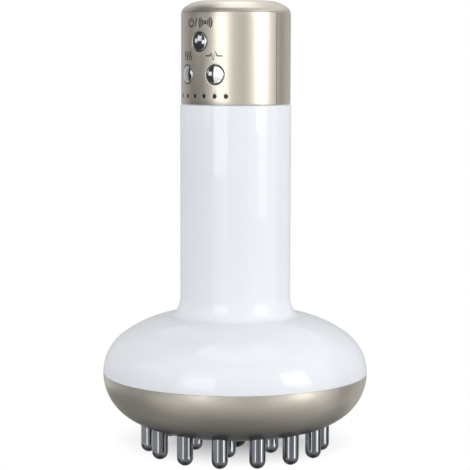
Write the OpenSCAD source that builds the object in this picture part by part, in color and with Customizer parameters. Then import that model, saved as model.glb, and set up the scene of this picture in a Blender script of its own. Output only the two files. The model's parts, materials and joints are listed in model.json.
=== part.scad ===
// Electric massage brush: a round vibrating head with two rings of metal teeth on a straight
// handle, with a control cap on top. The tips of the teeth stand on z = 0, the handle runs up
// +Z, and the middle of the control panel faces -Y.

/* [Overall] */
// Height from the tips of the teeth to the top of the cap
total_h = 170; // [166:0.5:176]
// Free length of the teeth below the underside of the head
tooth_reach = 9.5; // [8:0.5:12]

/* [Head shells] */
// Radius of the head at its widest, where the two shells meet
head_r = 50.1; // [48.5:0.1:52]
// Depth of the lower bowl, from the seam to its flat underside
bowl_depth = 20.7; // [20.2:0.1:23]
// Radius of the bowl's side in section
bowl_side_r = 19; // [18:0.2:19.8]
// Radius of the bowl's lower curve in section
bowl_floor_r = 27.4; // [25:0.2:31]
// Rise of the dome, from the seam to its crown
dome_rise = 22.5; // [21:0.1:25]
// Radius of the dome's side in section
dome_side_r = 17.4; // [16:0.2:19]
// Radius of the dome's upper curve in section
dome_crown_r = 43.4; // [38:0.2:48]
// Wall of the dome and of the bowl
shell_t = 2; // [1.6:0.1:2.4]
// Height of the bowl's lip inside the dome
lip_h = 2.8; // [2:0.1:3.6]
// Wall of the bowl's lip
lip_t = 1.4; // [1:0.1:1.8]
// Gap between the lip and the dome
lip_gap = 0.15; // [0.1:0.05:0.3]
// Height of the sealing ring on the lip
seal_h = 1.2; // [0.8:0.1:1.6]

/* [Handle] */
// Radius of the handle
handle_r = 20.8; // [20.6:0.1:22]
// Wall of the handle
handle_t = 2; // [1.6:0.1:2.4]
// How much wider the neck is than the handle where it meets the dome
neck_flare = 2.4; // [1.6:0.1:4]
// Radius of the hollow curve at the foot of the handle
neck_fillet_r = 12; // [9:0.5:15]
// Height of the shelf in the neck that carries the inner frame
shelf_z = 60; // [59:0.5:62]
// Thickness of that shelf
shelf_t = 2.4; // [2:0.2:3]
// Inner radius of that shelf
shelf_r = 12.8; // [12.6:0.1:13.2]
// Height of the spigot that holds the cap
spigot_h = 6; // [5:0.5:7]
// Wall of the spigot
spigot_t = 1.6; // [1.2:0.1:2]

/* [Cap] */
// Height of the cap
cap_h = 38.2; // [37:0.2:40]
// How far the cap's wall stands inside the handle's
cap_step = 0.3; // [0.1:0.1:0.5]
// Wall of the cap
cap_t = 1.8; // [1.5:0.1:2]
// Height of the rounded top edge
corner_h = 5.2; // [4.8:0.1:6]
// Side radius of the rounded top edge in section
corner_side_r = 3.6; // [3:0.1:4.2]
// Top radius of the rounded top edge in section
corner_top_r = 12.5; // [11:0.1:14]
// Drop from the top of the cap to the top edge of the control panel
panel_drop = 4.4; // [4:0.1:6]
// Half of the angle that the control panel spans
panel_half = 88; // [86:1:90]
// Gap round the control panel
panel_gap = 0.12; // [0.08:0.02:0.3]
// Wall of the ledge behind the edges of the control panel
ledge_t = 1.4; // [1:0.1:1.6]

/* [Buttons] */
// Radius of a button's face
button_r = 3.5; // [3:0.1:3.7]
// Gap round a button in the control panel
button_gap = 0.3; // [0.2:0.05:0.4]
// Rise of the button's domed face
button_crown = 0.9; // [0.5:0.1:1.2]
// How far the domed face stands out of the panel
button_proud = 0.4; // [0.2:0.1:0.6]
// Travel of a button
button_travel = 0.5; // [0.3:0.05:0.6]
// Height of the power button over the foot of the cap
power_rise = 22.9; // [22.4:0.1:24]
// Height of the two lower buttons over the foot of the cap
mode_rise = 11; // [10.6:0.1:11.6]
// Angle of the two lower buttons from the middle of the panel
mode_angle = 19.2; // [18:0.2:21]
// Width of a push switch
switch_w = 6; // [5.6:0.1:6.2]
// Height of a push switch's body
switch_h = 3; // [2.6:0.1:3.2]

/* [Lights] */
// Number of light pins in the control panel
pin_count = 6; // [4:1:7]
// Radius of a light pin
pin_r = 0.75; // [0.5:0.05:0.9]
// Height of the row of light pins over the foot of the cap
pin_rise = 3.1; // [3:0.1:3.6]
// Angle between two light pins
pin_step = 12.5; // [10:0.5:13]
// Radius of the lamp lens under the head
lens_r = 5; // [4.4:0.1:5.4]
// Height of the lens's tip above the tips of the teeth
lens_lift = 0.5; // [0.3:0.1:1]

/* [Teeth] */
// Radius of a tooth
tooth_r = 3; // [2.6:0.1:3.3]
// Number of teeth in the outer ring
outer_count = 15; // [12:1:16]
// Distance of the outer ring of teeth from the widest edge of the head
outer_ring_inset = 17.1; // [16.6:0.1:18]
// Number of teeth in the inner ring
inner_count = 5; // [4:1:6]
// Radius of the inner ring of teeth
inner_ring_r = 15.3; // [14.6:0.1:16]
// Angle of the first tooth from the middle of the control panel
first_tooth_angle = 31.7; // [0:0.1:72]
// Radius of a tooth's foot flange
tooth_flange_r = 4; // [3.6:0.1:4.2]
// Thickness of a tooth's foot flange
tooth_flange_t = 1.2; // [0.8:0.1:1.6]
// Height of the bosses inside the bowl that the teeth seat on
seat_h = 5.3; // [5:0.1:6]

/* [Heating and contacts] */
// Thickness of the contact rings
contact_t = 0.6; // [0.4:0.1:0.8]
// Thickness of the insulating film
film_t = 0.3; // [0.2:0.05:0.4]
// Thickness of the heat spreader
spreader_t = 1.5; // [1:0.1:2]
// Thickness of the heating film
heater_t = 0.3; // [0.2:0.05:0.4]
// Thickness of the motor carrier's plate
carrier_t = 2.2; // [1.8:0.1:2.6]

/* [Motor] */
// Radius of the motor can
motor_r = 10.05; // [9.6:0.05:10.3]
// Width of the motor can across its two flats
motor_flat_w = 15.1; // [14.6:0.1:15.6]
// Height of the motor can
motor_h = 20.2; // [19:0.2:20.6]
// Radius of the motor shaft
motor_shaft_r = 1; // [0.8:0.1:1.2]
// Running clearance round the motor shaft
shaft_clearance = 0.05; // [0.02:0.01:0.1]
// Radius of the eccentric weight
weight_r = 9.5; // [8.5:0.1:10.5]
// Height of the eccentric weight
weight_h = 7; // [5:0.5:7.5]
// Height of the motor's seat above the motor carrier's plate
motor_lift = 12.1; // [11.5:0.1:13]

/* [Battery and boards] */
// Radius of the battery cell
battery_r = 9.25; // [8.8:0.05:9.4]
// Thickness of the tray's floor under the battery cell
tray_plate_t = 1.8; // [1.4:0.1:2.2]
// Wall of the battery tray
tray_t = 1.8; // [1.4:0.1:2]
// Thickness of the circuit boards
board_t = 1.2; // [0.8:0.1:1.4]
// Distance of the control board's front face from the handle's axis
board_front = 8.6; // [8.4:0.1:9]
// Half of the width of the control board
board_half_w = 13; // [12.4:0.1:13.4]
// Height of the charging socket over the foot of the cap
socket_rise = 11.2; // [10.4:0.2:13]
// Width of the charging socket's shell
socket_w = 8.94; // [8:0.02:9.4]
// Height of the charging socket's shell
socket_h = 3.26; // [3:0.02:3.5]

/* [Hidden] */

$fn = 96;
far = 200;
fit_gap = 0.1;
thread_gap = 0.05;
clear_gap = 0.15;
paint_gold = [0.78, 0.74, 0.68];
shell_white = [0.93, 0.94, 0.95];
gunmetal = [0.42, 0.43, 0.45];
copper = [0.8, 0.5, 0.3];
brass = [0.82, 0.68, 0.36];
board_green = [0.1, 0.35, 0.2];
dark_plastic = [0.13, 0.13, 0.14];
grey_plastic = [0.62, 0.63, 0.64];

// Radii and rings that follow from the sizes above
neck_r = handle_r + neck_flare;
cap_r = handle_r - cap_step;
outer_ring_r = head_r - outer_ring_inset;
post_ring_r = (outer_ring_r + inner_ring_r) / 2;

// Heights of the head
seam_z = tooth_reach + bowl_depth;
floor_z = tooth_reach;
seat_z = floor_z + seat_h;
contact_z = seat_z + tooth_flange_t;
film_z = contact_z + contact_t;
spreader_z = film_z + film_t;
heater_z = spreader_z + spreader_t;
carrier_z = heater_z + heater_t;
carrier_top_z = carrier_z + carrier_t;

// Screws and posts of the head
post_r = 3.7;
screw_r = 1.4;
screw_head_r = 2.6;
screw_head_h = 1.9;
recess_r = screw_head_r + 0.3;
recess_depth = 6;
post_foot_z = carrier_top_z + 1.1;
head_screw_len = 12;
carrier_screw_len = 8;
small_screw_r = 1;
small_head_r = 1.8;
small_head_h = 1.3;
boss_r = 2.6;
post_angle = 180 / inner_count;
boss_angle = 180 / outer_count;

// Plates of the head
tooth_boss_r = tooth_flange_r + 0.9;
contact_inset = 0.2;
plate_r = outer_ring_r + tooth_flange_r + 0.1;
centre_hole_r = lens_r + 2.2;

// Heat-sensitive switch on the heating film
cutout_len = 12;
cutout_w = 5;
cutout_h = 3;
cutout_gap = 0.4;
cutout_angle = first_tooth_angle - boss_angle + 720 / inner_count;

// Lamp
lens_flange_r = lens_r + 1.6;
lens_flange_t = 1.2;
lens_seat_z = floor_z + shell_t + 1.2;
lens_wall = 1.2;
lamp_board_z = lens_seat_z + lens_flange_t;
led_r = 2.5;
led_h = 5;

// Motor
motor_z = carrier_top_z + motor_lift;
motor_wall = 0.8;
motor_hub_r = 3.05;
motor_hub_h = 1.6;
motor_shoulder_t = 2;
endcap_h = 4;
armature_gap = 0.5;
magnet_t = 2.3;
terminal_x = 5;
terminal_w = 1.2;
terminal_t = 0.5;
commutator_r = 2.4;
commutator_h = 3.6;
magnet_lift = 2;
magnet_drop = 4.5;
core_inset = 1;
slot_w = 1.2;
weight_hub_r = 3.4;
damper_t = 1.15;
damper_h = 14;
sleeve_t = 1.6;
vent_w = 8;
vent_h = 7;
weight_z = motor_z - motor_shoulder_t - 0.8 - weight_h;
shaft_foot_z = weight_z - 0.6;
shaft_top_z = motor_z + motor_h + 2.3;

// Handle and frame
cap_z = total_h - cap_h;
handle_inner_r = handle_r - handle_t;
frame_gap = 0.2;
notch_half = 36;
fin_t = 1.8;
foot_t = 2;
battery_gap = 0.25;
tab_t = 0.2;
tab_w = 7;
tab_reach = 10.8;
tab_step = 3.2;
tab_tail = 4;
deck_drop = 0.6;
deck_top_z = cap_z - deck_drop;
deck_z = deck_top_z - foot_t;
battery_z = shelf_z + foot_t + tray_plate_t + tab_t;
battery_top_z = deck_z - tab_t;
battery_len = battery_top_z - battery_z;
tray_r = battery_r + battery_gap;
back_plate_y = board_front - board_t - 3;
back_plate_t = 1.6;

// Cap, panel and buttons
power_z = cap_z + power_rise;
mode_z = cap_z + mode_rise;
pin_z = cap_z + pin_rise;
socket_z = cap_z + socket_rise;
panel_top_z = total_h - panel_drop;
cap_inner_r = cap_r - cap_t;
ledge_r = cap_inner_r - fit_gap;
spigot_r = cap_inner_r - 0.2;
spigot_inner_r = spigot_r - spigot_t;
spigot_foot = 2.8;
spigot_step = 1.4;
snap_w = 5.4;
snap_h = 1.6;
snap_z = cap_z + 2.8;
snap_gap = 0.2;
snap_angles = [130, 230];
rail_r = spigot_inner_r - frame_gap;
frame_screw_ring_r = (shelf_r + rail_r) / 2;
front_gap_half = 102;
rear_gap_half = 22;
button_top = cap_r + button_proud;
button_foot = button_top - 2.8;
flange_r = button_r + 0.9;
flange_t = 0.9;
stem_r = 1.65;
plunger_h = 2.2;
cover_t = 0.3;
plunger_lift = button_travel + 0.6;
cover_top = button_foot - flange_t - 0.1 - plunger_h / 2;
switch_top = cover_top - cover_t;
switch_foot = switch_top - switch_h;
button_angles = [0, -mode_angle, mode_angle];
button_heights = [power_z, mode_z, mode_z];

// Boards
board_foot_z = pin_z - 1.3;
board_top_z = power_z + 8.2;
back_plate_top = board_top_z + 0.6;
board_screw_x = board_half_w - 2.5;
board_screw_z = [pin_z + 4.9, board_top_z - 2.6];
board_screw_len = 6;
carrier_plate_t = 1.3;
guide_half_h = 1.1;
led_lift = 1;
charge_board_z = socket_z - socket_h / 2 - board_t;
charge_board_half_w = 7;
socket_len = 7.3;
socket_mouth_y = cap_r - 0.6;
socket_wall = 0.25;
charge_shelf_t = 1.4;
charge_boss_h = 1.2;
charge_screw_x = 4.6;
charge_screw_y = 1.4;
charge_shelf_y = 14;
charge_board_y = [-2.4, 16];
rib_t = 1.6;
rib_y = 9;
frame_boss_r = 2.2;
lead_r = 0.6;
lead_y = 12.2;
lead_end_y = board_front - board_t - lead_r - 0.05;
lead_end_z = board_foot_z + 5.4;
battery_lead_x = 1.6;
motor_lead_x = 4.2;
head_lead_x = 6.8;
coil_y = 5.6;
coil_core_r = 2.9;
coil_flange_r = 3.6;
coil_flange_t = 0.8;
coil_h = 5.8;
chip_w = 7;
chip_t = 1.2;
led_w = 1.6;
led_t = 0.8;

// Turn of the side arc before the flatter arc takes over
function blend_turn(rise, side, crown) = asin(1 - (rise - side) / (crown - side));
// Radius at which the flatter arc comes level
function level_r(edge, rise, side, crown) =
    edge - side - (crown - side) * cos(blend_turn(rise, side, crown));
// Height over the widest plane of the flatter arc at radius r
function crown_height(r, edge, rise, side, crown) =
    sqrt(crown * crown - pow(r - level_r(edge, rise, side, crown), 2)) - (crown - rise);
function dome_z(r) = seam_z + crown_height(r, head_r, dome_rise, dome_side_r, dome_crown_r);

neck_foot_z = dome_z(neck_r);
neck_top_z = neck_foot_z + sqrt(pow(neck_fillet_r, 2) - pow(neck_fillet_r - neck_r + handle_r, 2));

// Places its children at a height on the cap, with +Z pointing outwards at an angle from -Y
module on_front(angle, z) {
    rotate([0, 0, angle]) translate([0, 0, z]) rotate([90, 0, 0]) children();
}

// Repeats its children round the axis, from -Y
module around(count, radius, start) {
    for (i = [0 : count - 1])
        rotate([0, 0, start + 360 * i / count]) translate([0, -radius, 0]) children();
}

// Turned ring from radius a to b and from z0 to z1
module ring(a, b, z0, z1) {
    rotate_extrude() translate([a, z0]) square([b - a, z1 - z0]);
}

// Part of a ring that spans an angle each side of a middle angle, which counts from -Y
module ring_sector(a, b, z0, z1, middle, half) {
    rotate([0, 0, middle - 90 - half]) rotate_extrude(angle = 2 * half)
        translate([a, z0]) square([b - a, z1 - z0]);
}

// Half section of a flattened dome of two tangent arcs, drawn in by inset
module oval_section(edge, rise, side, crown, inset) {
    turn = blend_turn(rise, side, crown);
    middle = edge - side;
    level = level_r(edge, rise, side, crown);
    intersection() {
        union() {
            intersection() {
                translate([middle, 0]) circle(side - inset);
                translate([middle, 0]) rotate(turn) translate([-far, -far]) square([2 * far, far]);
            }
            intersection() {
                translate([level, rise - crown]) circle(crown - inset);
                translate([middle, 0]) rotate(turn) translate([-far, 0]) square([2 * far, far]);
                translate([level, 0]) square([far, far]);
            }
            square([level, rise - inset]);
        }
        square([edge, rise]);
    }
}

module dome_section(inset) {
    translate([0, seam_z]) oval_section(head_r, dome_rise, dome_side_r, dome_crown_r, inset);
}

module bowl_section(inset) {
    translate([0, seam_z]) mirror([0, 1])
        oval_section(head_r, bowl_depth, bowl_side_r, bowl_floor_r, inset);
}

module cap_section(inset) {
    translate([0, total_h - corner_h])
        oval_section(cap_r, corner_h, corner_side_r, corner_top_r, inset);
    translate([0, cap_z]) square([cap_r - inset, total_h - corner_h - cap_z]);
}

// Flared foot of the handle, cut by a hollow curve
module neck_section() {
    difference() {
        translate([0, neck_foot_z - 3]) square([neck_r, neck_top_z - neck_foot_z + 3]);
        translate([handle_r + neck_fillet_r, neck_top_z]) circle(neck_fillet_r);
    }
}

// Screw with a cross recess, its head resting on z = 0 and its shank pointing down
module screw(head_radius, head_height, shank_r, length) {
    slot = head_radius * 1.1;
    difference() {
        union() {
            cylinder(r = head_radius, h = head_height);
            translate([0, 0, -length]) cylinder(r = shank_r, h = length);
        }
        for (turn = [0, 90])
            rotate([0, 0, turn]) translate([-slot / 2, -0.25, head_height / 2])
                cube([slot, 0.5, head_height]);
    }
}

// Point t of the way along a smooth curve through four neighbouring points
function blend_point(a, b, c, d, t) =
    0.5 * (2 * b + (c - a) * t + (2 * a - 5 * b + 4 * c - d) * t * t
        + (3 * b - a - 3 * c + d) * t * t * t);
function smooth_path(p, parts) = [
    for (i = [0 : len(p) - 2]) for (k = [0 : parts - 1])
        blend_point(p[max(i - 1, 0)], p[i], p[i + 1], p[min(i + 2, len(p) - 1)], k / parts),
    p[len(p) - 1]
];
function unit(v) = v / norm(v);

// Insulated lead swept along a curve through its points, none of which runs along X
module lead(points, radius) {
    sides = 6;
    path = smooth_path(points, 3);
    last = len(path) - 1;
    rings = [
        for (i = [0 : last])
            let (along = unit(path[min(i + 1, last)] - path[max(i - 1, 0)]),
                 across = unit(cross([1, 0, 0], along)),
                 side = cross(along, across))
            for (k = [0 : sides - 1])
                path[i] + radius * (cos(60 * k) * side + sin(60 * k) * across)
    ];
    walls = [
        for (i = [0 : last - 1]) for (k = [0 : sides - 1])
            let (a = i * sides + k, b = i * sides + (k + 1) % sides)
            each [[a, b, b + sides], [a, b + sides, a + sides]]
    ];
    first_end = [for (k = [1 : sides - 2]) [0, k + 1, k]];
    last_end = [for (k = [1 : sides - 2]) [last * sides, last * sides + k, last * sides + k + 1]];
    polyhedron(points = rings, faces = concat(walls, first_end, last_end));
}

// White moulding of dome, neck and handle, with posts for the head's screws
module upper_housing() {
    pilot_top = post_foot_z + head_screw_len - 2;
    post_top = dome_z(post_ring_r + post_r) - 0.3;
    spigot_top = cap_z + spigot_h;
    color(shell_white) difference() {
        union() {
            rotate_extrude() difference() {
                union() {
                    dome_section(0);
                    neck_section();
                    translate([0, seam_z + 1]) square([handle_r, cap_z - seam_z - 1]);
                }
                dome_section(shell_t);
                translate([0, seam_z - 1]) square([handle_inner_r, shelf_z - shelf_t - seam_z + 1]);
                translate([0, shelf_z - shelf_t - 1]) square([shelf_r, shelf_t + 2]);
                translate([0, shelf_z]) square([handle_inner_r, cap_z - shelf_z + 1]);
            }
            rotate_extrude() {
                translate([spigot_inner_r, cap_z - spigot_foot])
                    square([handle_inner_r + 0.2 - spigot_inner_r, spigot_foot]);
                translate([spigot_inner_r, cap_z - 0.5]) square([spigot_t, spigot_h + 0.5]);
            }
            rotate_extrude() intersection() {
                difference() {
                    dome_section(shell_t / 2);
                    dome_section(shell_t + lip_t + 2 * lip_gap);
                }
                translate([0, seam_z + lip_h + seal_h]) square([head_r, 1.4]);
            }
            around(inner_count, post_ring_r, first_tooth_angle + post_angle)
                translate([0, 0, post_foot_z]) cylinder(r = post_r - 0.5, h = post_top - post_foot_z);
        }
        for (gap = [[0, front_gap_half], [180, rear_gap_half]])
            ring_sector(spigot_inner_r - 1, spigot_r + 1, cap_z + spigot_step, spigot_top + 1,
                gap[0], gap[1]);
        ring_sector(shelf_r - 1, rail_r, shelf_z - shelf_t - 1, shelf_z + 1, 0, notch_half);
        around(inner_count, post_ring_r, first_tooth_angle + post_angle)
            translate([0, 0, post_foot_z - 1])
                cylinder(r = screw_r + thread_gap, h = pilot_top - post_foot_z + 1);
        around(4, frame_screw_ring_r, 45)
            translate([0, 0, shelf_z - shelf_t - 1])
                cylinder(r = small_screw_r + thread_gap, h = shelf_t + 2);
        for (middle = snap_angles)
            rotate([0, 0, middle]) translate([0, -spigot_r, snap_z + snap_h / 2])
                cube([snap_w + 3 * snap_gap, 4 * spigot_t, snap_h + 2 * snap_gap], center = true);
    }
}

// Gold lower shell with bosses for the teeth, the lamp and the screws
module lower_bowl() {
    sleeve_top = post_foot_z;
    color(paint_gold) difference() {
        union() {
            rotate_extrude() {
                difference() {
                    bowl_section(0);
                    bowl_section(shell_t);
                }
                intersection() {
                    difference() {
                        bowl_section(shell_t / 2);
                        bowl_section(shell_t + lip_gap + lip_t);
                    }
                    translate([0, seam_z - 3]) square([head_r, 3]);
                }
                intersection() {
                    difference() {
                        dome_section(shell_t + lip_gap);
                        dome_section(shell_t + lip_gap + lip_t);
                    }
                    translate([0, seam_z]) square([head_r, lip_h]);
                }
            }
            intersection() {
                rotate_extrude() bowl_section(shell_t / 2);
                union() {
                    around(outer_count, outer_ring_r, first_tooth_angle)
                        translate([0, 0, floor_z]) cylinder(r = tooth_boss_r, h = seat_h);
                    around(inner_count, inner_ring_r, first_tooth_angle)
                        translate([0, 0, floor_z]) cylinder(r = tooth_boss_r, h = seat_h);
                    around(inner_count, post_ring_r, first_tooth_angle + post_angle)
                        translate([0, 0, floor_z]) cylinder(r = post_r, h = sleeve_top - floor_z);
                    around(inner_count, post_ring_r, first_tooth_angle + boss_angle)
                        translate([0, 0, floor_z]) cylinder(r = boss_r, h = carrier_z - fit_gap - floor_z);
                    translate([0, 0, floor_z]) cylinder(r = lens_flange_r + 1.2, h = lens_seat_z - floor_z);
                }
            }
        }
        around(outer_count, outer_ring_r, first_tooth_angle)
            translate([0, 0, floor_z - 1]) cylinder(r = tooth_r + fit_gap, h = seat_h + 3);
        around(inner_count, inner_ring_r, first_tooth_angle)
            translate([0, 0, floor_z - 1]) cylinder(r = tooth_r + fit_gap, h = seat_h + 3);
        around(inner_count, post_ring_r, first_tooth_angle + post_angle) {
            translate([0, 0, floor_z - 1]) cylinder(r = recess_r, h = recess_depth + 1);
            translate([0, 0, floor_z]) cylinder(r = screw_r + thread_gap, h = sleeve_top);
        }
        around(inner_count, post_ring_r, first_tooth_angle + boss_angle)
            translate([0, 0, floor_z + shell_t]) cylinder(r = small_screw_r + thread_gap, h = seat_h + 9);
        translate([0, 0, floor_z - 1]) cylinder(r = lens_r + fit_gap, h = lens_seat_z);
    }
}

module head_seal() {
    seal_z = seam_z + lip_h;
    color("dimgray") rotate_extrude() intersection() {
        difference() {
            dome_section(shell_t + lip_gap);
            dome_section(shell_t + lip_t);
        }
        translate([0, seal_z]) square([head_r, seal_h]);
    }
}

module head_screws() {
    color("silver") around(inner_count, post_ring_r, first_tooth_angle + post_angle)
        translate([0, 0, floor_z + recess_depth]) rotate([180, 0, 0])
            screw(screw_head_r, screw_head_h, screw_r, head_screw_len);
}

// Round-ended metal tooth with a foot flange inside the bowl
module tooth() {
    rotate_extrude() {
        intersection() {
            translate([0, tooth_r]) circle(tooth_r);
            square([tooth_r, tooth_r]);
        }
        translate([0, tooth_r]) square([tooth_r, contact_z - tooth_r]);
        translate([0, seat_z]) square([tooth_flange_r, tooth_flange_t]);
    }
}

module outer_teeth() {
    color(gunmetal) around(outer_count, outer_ring_r, first_tooth_angle) tooth();
}

module inner_teeth() {
    color(gunmetal) around(inner_count, inner_ring_r, first_tooth_angle) tooth();
}

// Metal ring that joins the feet of one ring of teeth
module contact_ring(middle_r) {
    half_w = tooth_flange_r - contact_inset;
    stack_disc(middle_r - half_w, middle_r + half_w, contact_z, film_z);
}

module outer_contact_ring() {
    color(brass) contact_ring(outer_ring_r);
}

module inner_contact_ring() {
    color(brass) contact_ring(inner_ring_r);
}

// Disc of the head's stack, with a centre hole and clear holes for the sleeves and bosses
module stack_disc(inner, outer, z0, z1) {
    difference() {
        ring(inner, outer, z0, z1);
        around(inner_count, post_ring_r, first_tooth_angle + post_angle)
            translate([0, 0, z0 - 1]) cylinder(r = post_r + 0.3, h = z1 - z0 + 2);
        around(inner_count, post_ring_r, first_tooth_angle + boss_angle)
            translate([0, 0, z0 - 1]) cylinder(r = boss_r + 0.3, h = z1 - z0 + 2);
    }
}

module insulating_film() {
    color("khaki") stack_disc(centre_hole_r, plate_r, film_z, spreader_z);
}

module heat_spreader() {
    color("gainsboro") stack_disc(centre_hole_r, plate_r - 0.2, spreader_z, heater_z);
}

module heating_film() {
    color("darkorange") stack_disc(centre_hole_r + 2, plate_r - 0.4, heater_z, carrier_z);
}

// Heat-sensitive switch that lies on the heating film, in a window of the motor carrier
module thermal_cutout() {
    color("whitesmoke") rotate([0, 0, cutout_angle])
        translate([0, -post_ring_r, carrier_z + cutout_h / 2])
            cube([cutout_w, cutout_len, cutout_h], center = true);
}

// Plate over the head's stack, with the turned seat that holds the motor over its weight
module motor_carrier() {
    sleeve_r = motor_r + damper_t + fit_gap / 2;
    skirt_r = weight_r + 3;
    shoulder_z = motor_z - motor_shoulder_t;
    window_w = cutout_w + 2 * cutout_gap;
    window_len = cutout_len + 2 * cutout_gap;
    color(grey_plastic) difference() {
        union() {
            stack_disc(0, plate_r - 0.2, carrier_z, carrier_top_z);
            around(inner_count, post_ring_r, first_tooth_angle + boss_angle)
                translate([0, 0, carrier_z]) cylinder(r = boss_r + 0.6, h = carrier_t);
            translate([0, 0, lamp_board_z + board_t + 0.05])
                cylinder(r = lens_r, h = carrier_z - lamp_board_z - board_t + 0.5);
            rotate_extrude() {
                translate([skirt_r, carrier_top_z - 0.5])
                    square([sleeve_t, motor_z - carrier_top_z + 0.5]);
                translate([motor_hub_r + fit_gap, shoulder_z])
                    square([skirt_r + sleeve_t - motor_hub_r - fit_gap, motor_shoulder_t]);
                translate([sleeve_r, shoulder_z]) square([sleeve_t, damper_h + 1 + motor_shoulder_t]);
            }
        }
        around(inner_count, post_ring_r, first_tooth_angle + boss_angle)
            translate([0, 0, carrier_z - 1]) cylinder(r = small_screw_r + thread_gap, h = carrier_t + 2);
        around(3, skirt_r, 60) translate([0, 0, carrier_top_z + 1.6 + vent_h / 2])
            cube([vent_w, 4 * sleeve_t, vent_h], center = true);
        rotate([0, 0, cutout_angle])
            translate([0, -post_ring_r, carrier_z + carrier_t / 2])
                cube([window_w, window_len, carrier_t + 2], center = true);
    }
}

module carrier_screws() {
    color("silver") around(inner_count, post_ring_r, first_tooth_angle + boss_angle)
        translate([0, 0, carrier_top_z])
            screw(small_head_r, small_head_h, small_screw_r, carrier_screw_len);
}

// Smoked lens in the middle of the teeth
module lamp_lens() {
    cavity_r = lens_r - lens_wall;
    color([0.12, 0.08, 0.08]) rotate_extrude() difference() {
        union() {
            intersection() {
                translate([0, lens_lift + lens_r]) circle(lens_r);
                translate([0, lens_lift]) square([lens_r, lens_r]);
            }
            translate([0, lens_lift + lens_r]) square([lens_r, lens_seat_z - lens_lift - lens_r]);
            translate([0, lens_seat_z]) square([lens_flange_r, lens_flange_t]);
        }
        translate([0, lens_lift + lens_r]) circle(cavity_r);
        translate([0, lens_lift + lens_r]) square([cavity_r, far]);
    }
}

module lamp_board() {
    color(board_green) translate([0, 0, lamp_board_z]) cylinder(r = lens_flange_r, h = board_t);
}

module lamp_led() {
    color("tomato") rotate_extrude() {
        translate([0, lamp_board_z - 1]) square([led_r + 0.4, 1]);
        translate([0, lamp_board_z - led_h + led_r / 2]) square([led_r, led_h - led_r / 2]);
        translate([0, lamp_board_z - led_h]) square([led_r * 0.6, led_r]);
    }
}

// Outline of the motor can, with its two flats
module can_section(inset) {
    intersection() {
        circle(motor_r - inset);
        square([motor_flat_w - 2 * inset, 3 * motor_r], center = true);
    }
}

module motor_can() {
    bore_r = motor_shaft_r + shaft_clearance;
    color("lightgray") difference() {
        union() {
            translate([0, 0, motor_z]) linear_extrude(motor_h) can_section(0);
            translate([0, 0, motor_z - motor_hub_h]) cylinder(r = motor_hub_r, h = motor_hub_h);
        }
        translate([0, 0, motor_z + motor_wall]) linear_extrude(motor_h) can_section(motor_wall);
        translate([0, 0, motor_z - motor_hub_h - 1]) cylinder(r = bore_r, h = motor_hub_h + 3);
    }
}

module motor_magnets() {
    outer_r = motor_r - motor_wall - 0.05;
    width = motor_flat_w - 2 * motor_wall - 0.3;
    color("dimgray") intersection() {
        ring(outer_r - magnet_t, outer_r, motor_z + magnet_lift, motor_z + motor_h - magnet_drop);
        translate([-width / 2, -far / 2, motor_z]) cube([width, far, motor_h]);
    }
}

module motor_endcap() {
    top_z = motor_z + motor_h + endcap_h / 2;
    color("white") difference() {
        union() {
            translate([0, 0, motor_z + motor_h]) linear_extrude(endcap_h / 2) can_section(0);
            translate([0, 0, motor_z + motor_h - 1.5]) linear_extrude(2)
                can_section(motor_wall + 0.05);
            translate([0, 0, top_z - 0.2]) cylinder(r = motor_hub_r, h = 1.4);
        }
        translate([0, 0, motor_z + motor_h - 2])
            cylinder(r = motor_shaft_r + shaft_clearance, h = shaft_top_z - motor_z - motor_h + 2.1);
        for (side = [-1, 1]) translate([side * terminal_x, 0, motor_z + motor_h])
            cube([terminal_w + 2 * fit_gap, terminal_t + 2 * fit_gap, 3 * endcap_h], center = true);
    }
}

module motor_terminals() {
    color(brass) for (side = [-1, 1])
        translate([side * terminal_x, 0, motor_z + motor_h + endcap_h / 2])
            cube([terminal_w, terminal_t, endcap_h + 1.2], center = true);
}

module motor_shaft() {
    color("silver") translate([0, 0, shaft_foot_z])
        cylinder(r = motor_shaft_r, h = shaft_top_z - shaft_foot_z);
}

// Slotted iron core and commutator, pressed on the shaft
module motor_armature() {
    core_r = motor_r - motor_wall - 0.05 - magnet_t - armature_gap;
    core_z = motor_z + magnet_lift + core_inset;
    core_h = motor_h - magnet_lift - magnet_drop - 2 * core_inset;
    color(copper) difference() {
        union() {
            translate([0, 0, core_z]) cylinder(r = core_r, h = core_h);
            translate([0, 0, core_z + core_h - 0.2]) cylinder(r = commutator_r, h = commutator_h);
        }
        translate([0, 0, core_z - 1]) cylinder(r = motor_shaft_r + 0.02, h = core_h + 6);
        around(3, core_r, 0) translate([-slot_w / 2, -1, core_z - 1])
            cube([slot_w, core_r - commutator_r + 1, core_h + 2]);
    }
}

// Half disc on a hub, whose pull shakes the head as it turns
module eccentric_weight() {
    bore_r = motor_shaft_r + 0.02;
    color("darkgray") {
        ring(bore_r, weight_hub_r, weight_z, weight_z + weight_h);
        ring_sector(bore_r + 0.6, weight_r, weight_z, weight_z + weight_h, 90, 90);
    }
}

module motor_damper() {
    color("dimgray") translate([0, 0, motor_z]) linear_extrude(damper_h) difference() {
        circle(motor_r + damper_t);
        can_section(-0.05);
    }
}

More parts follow.
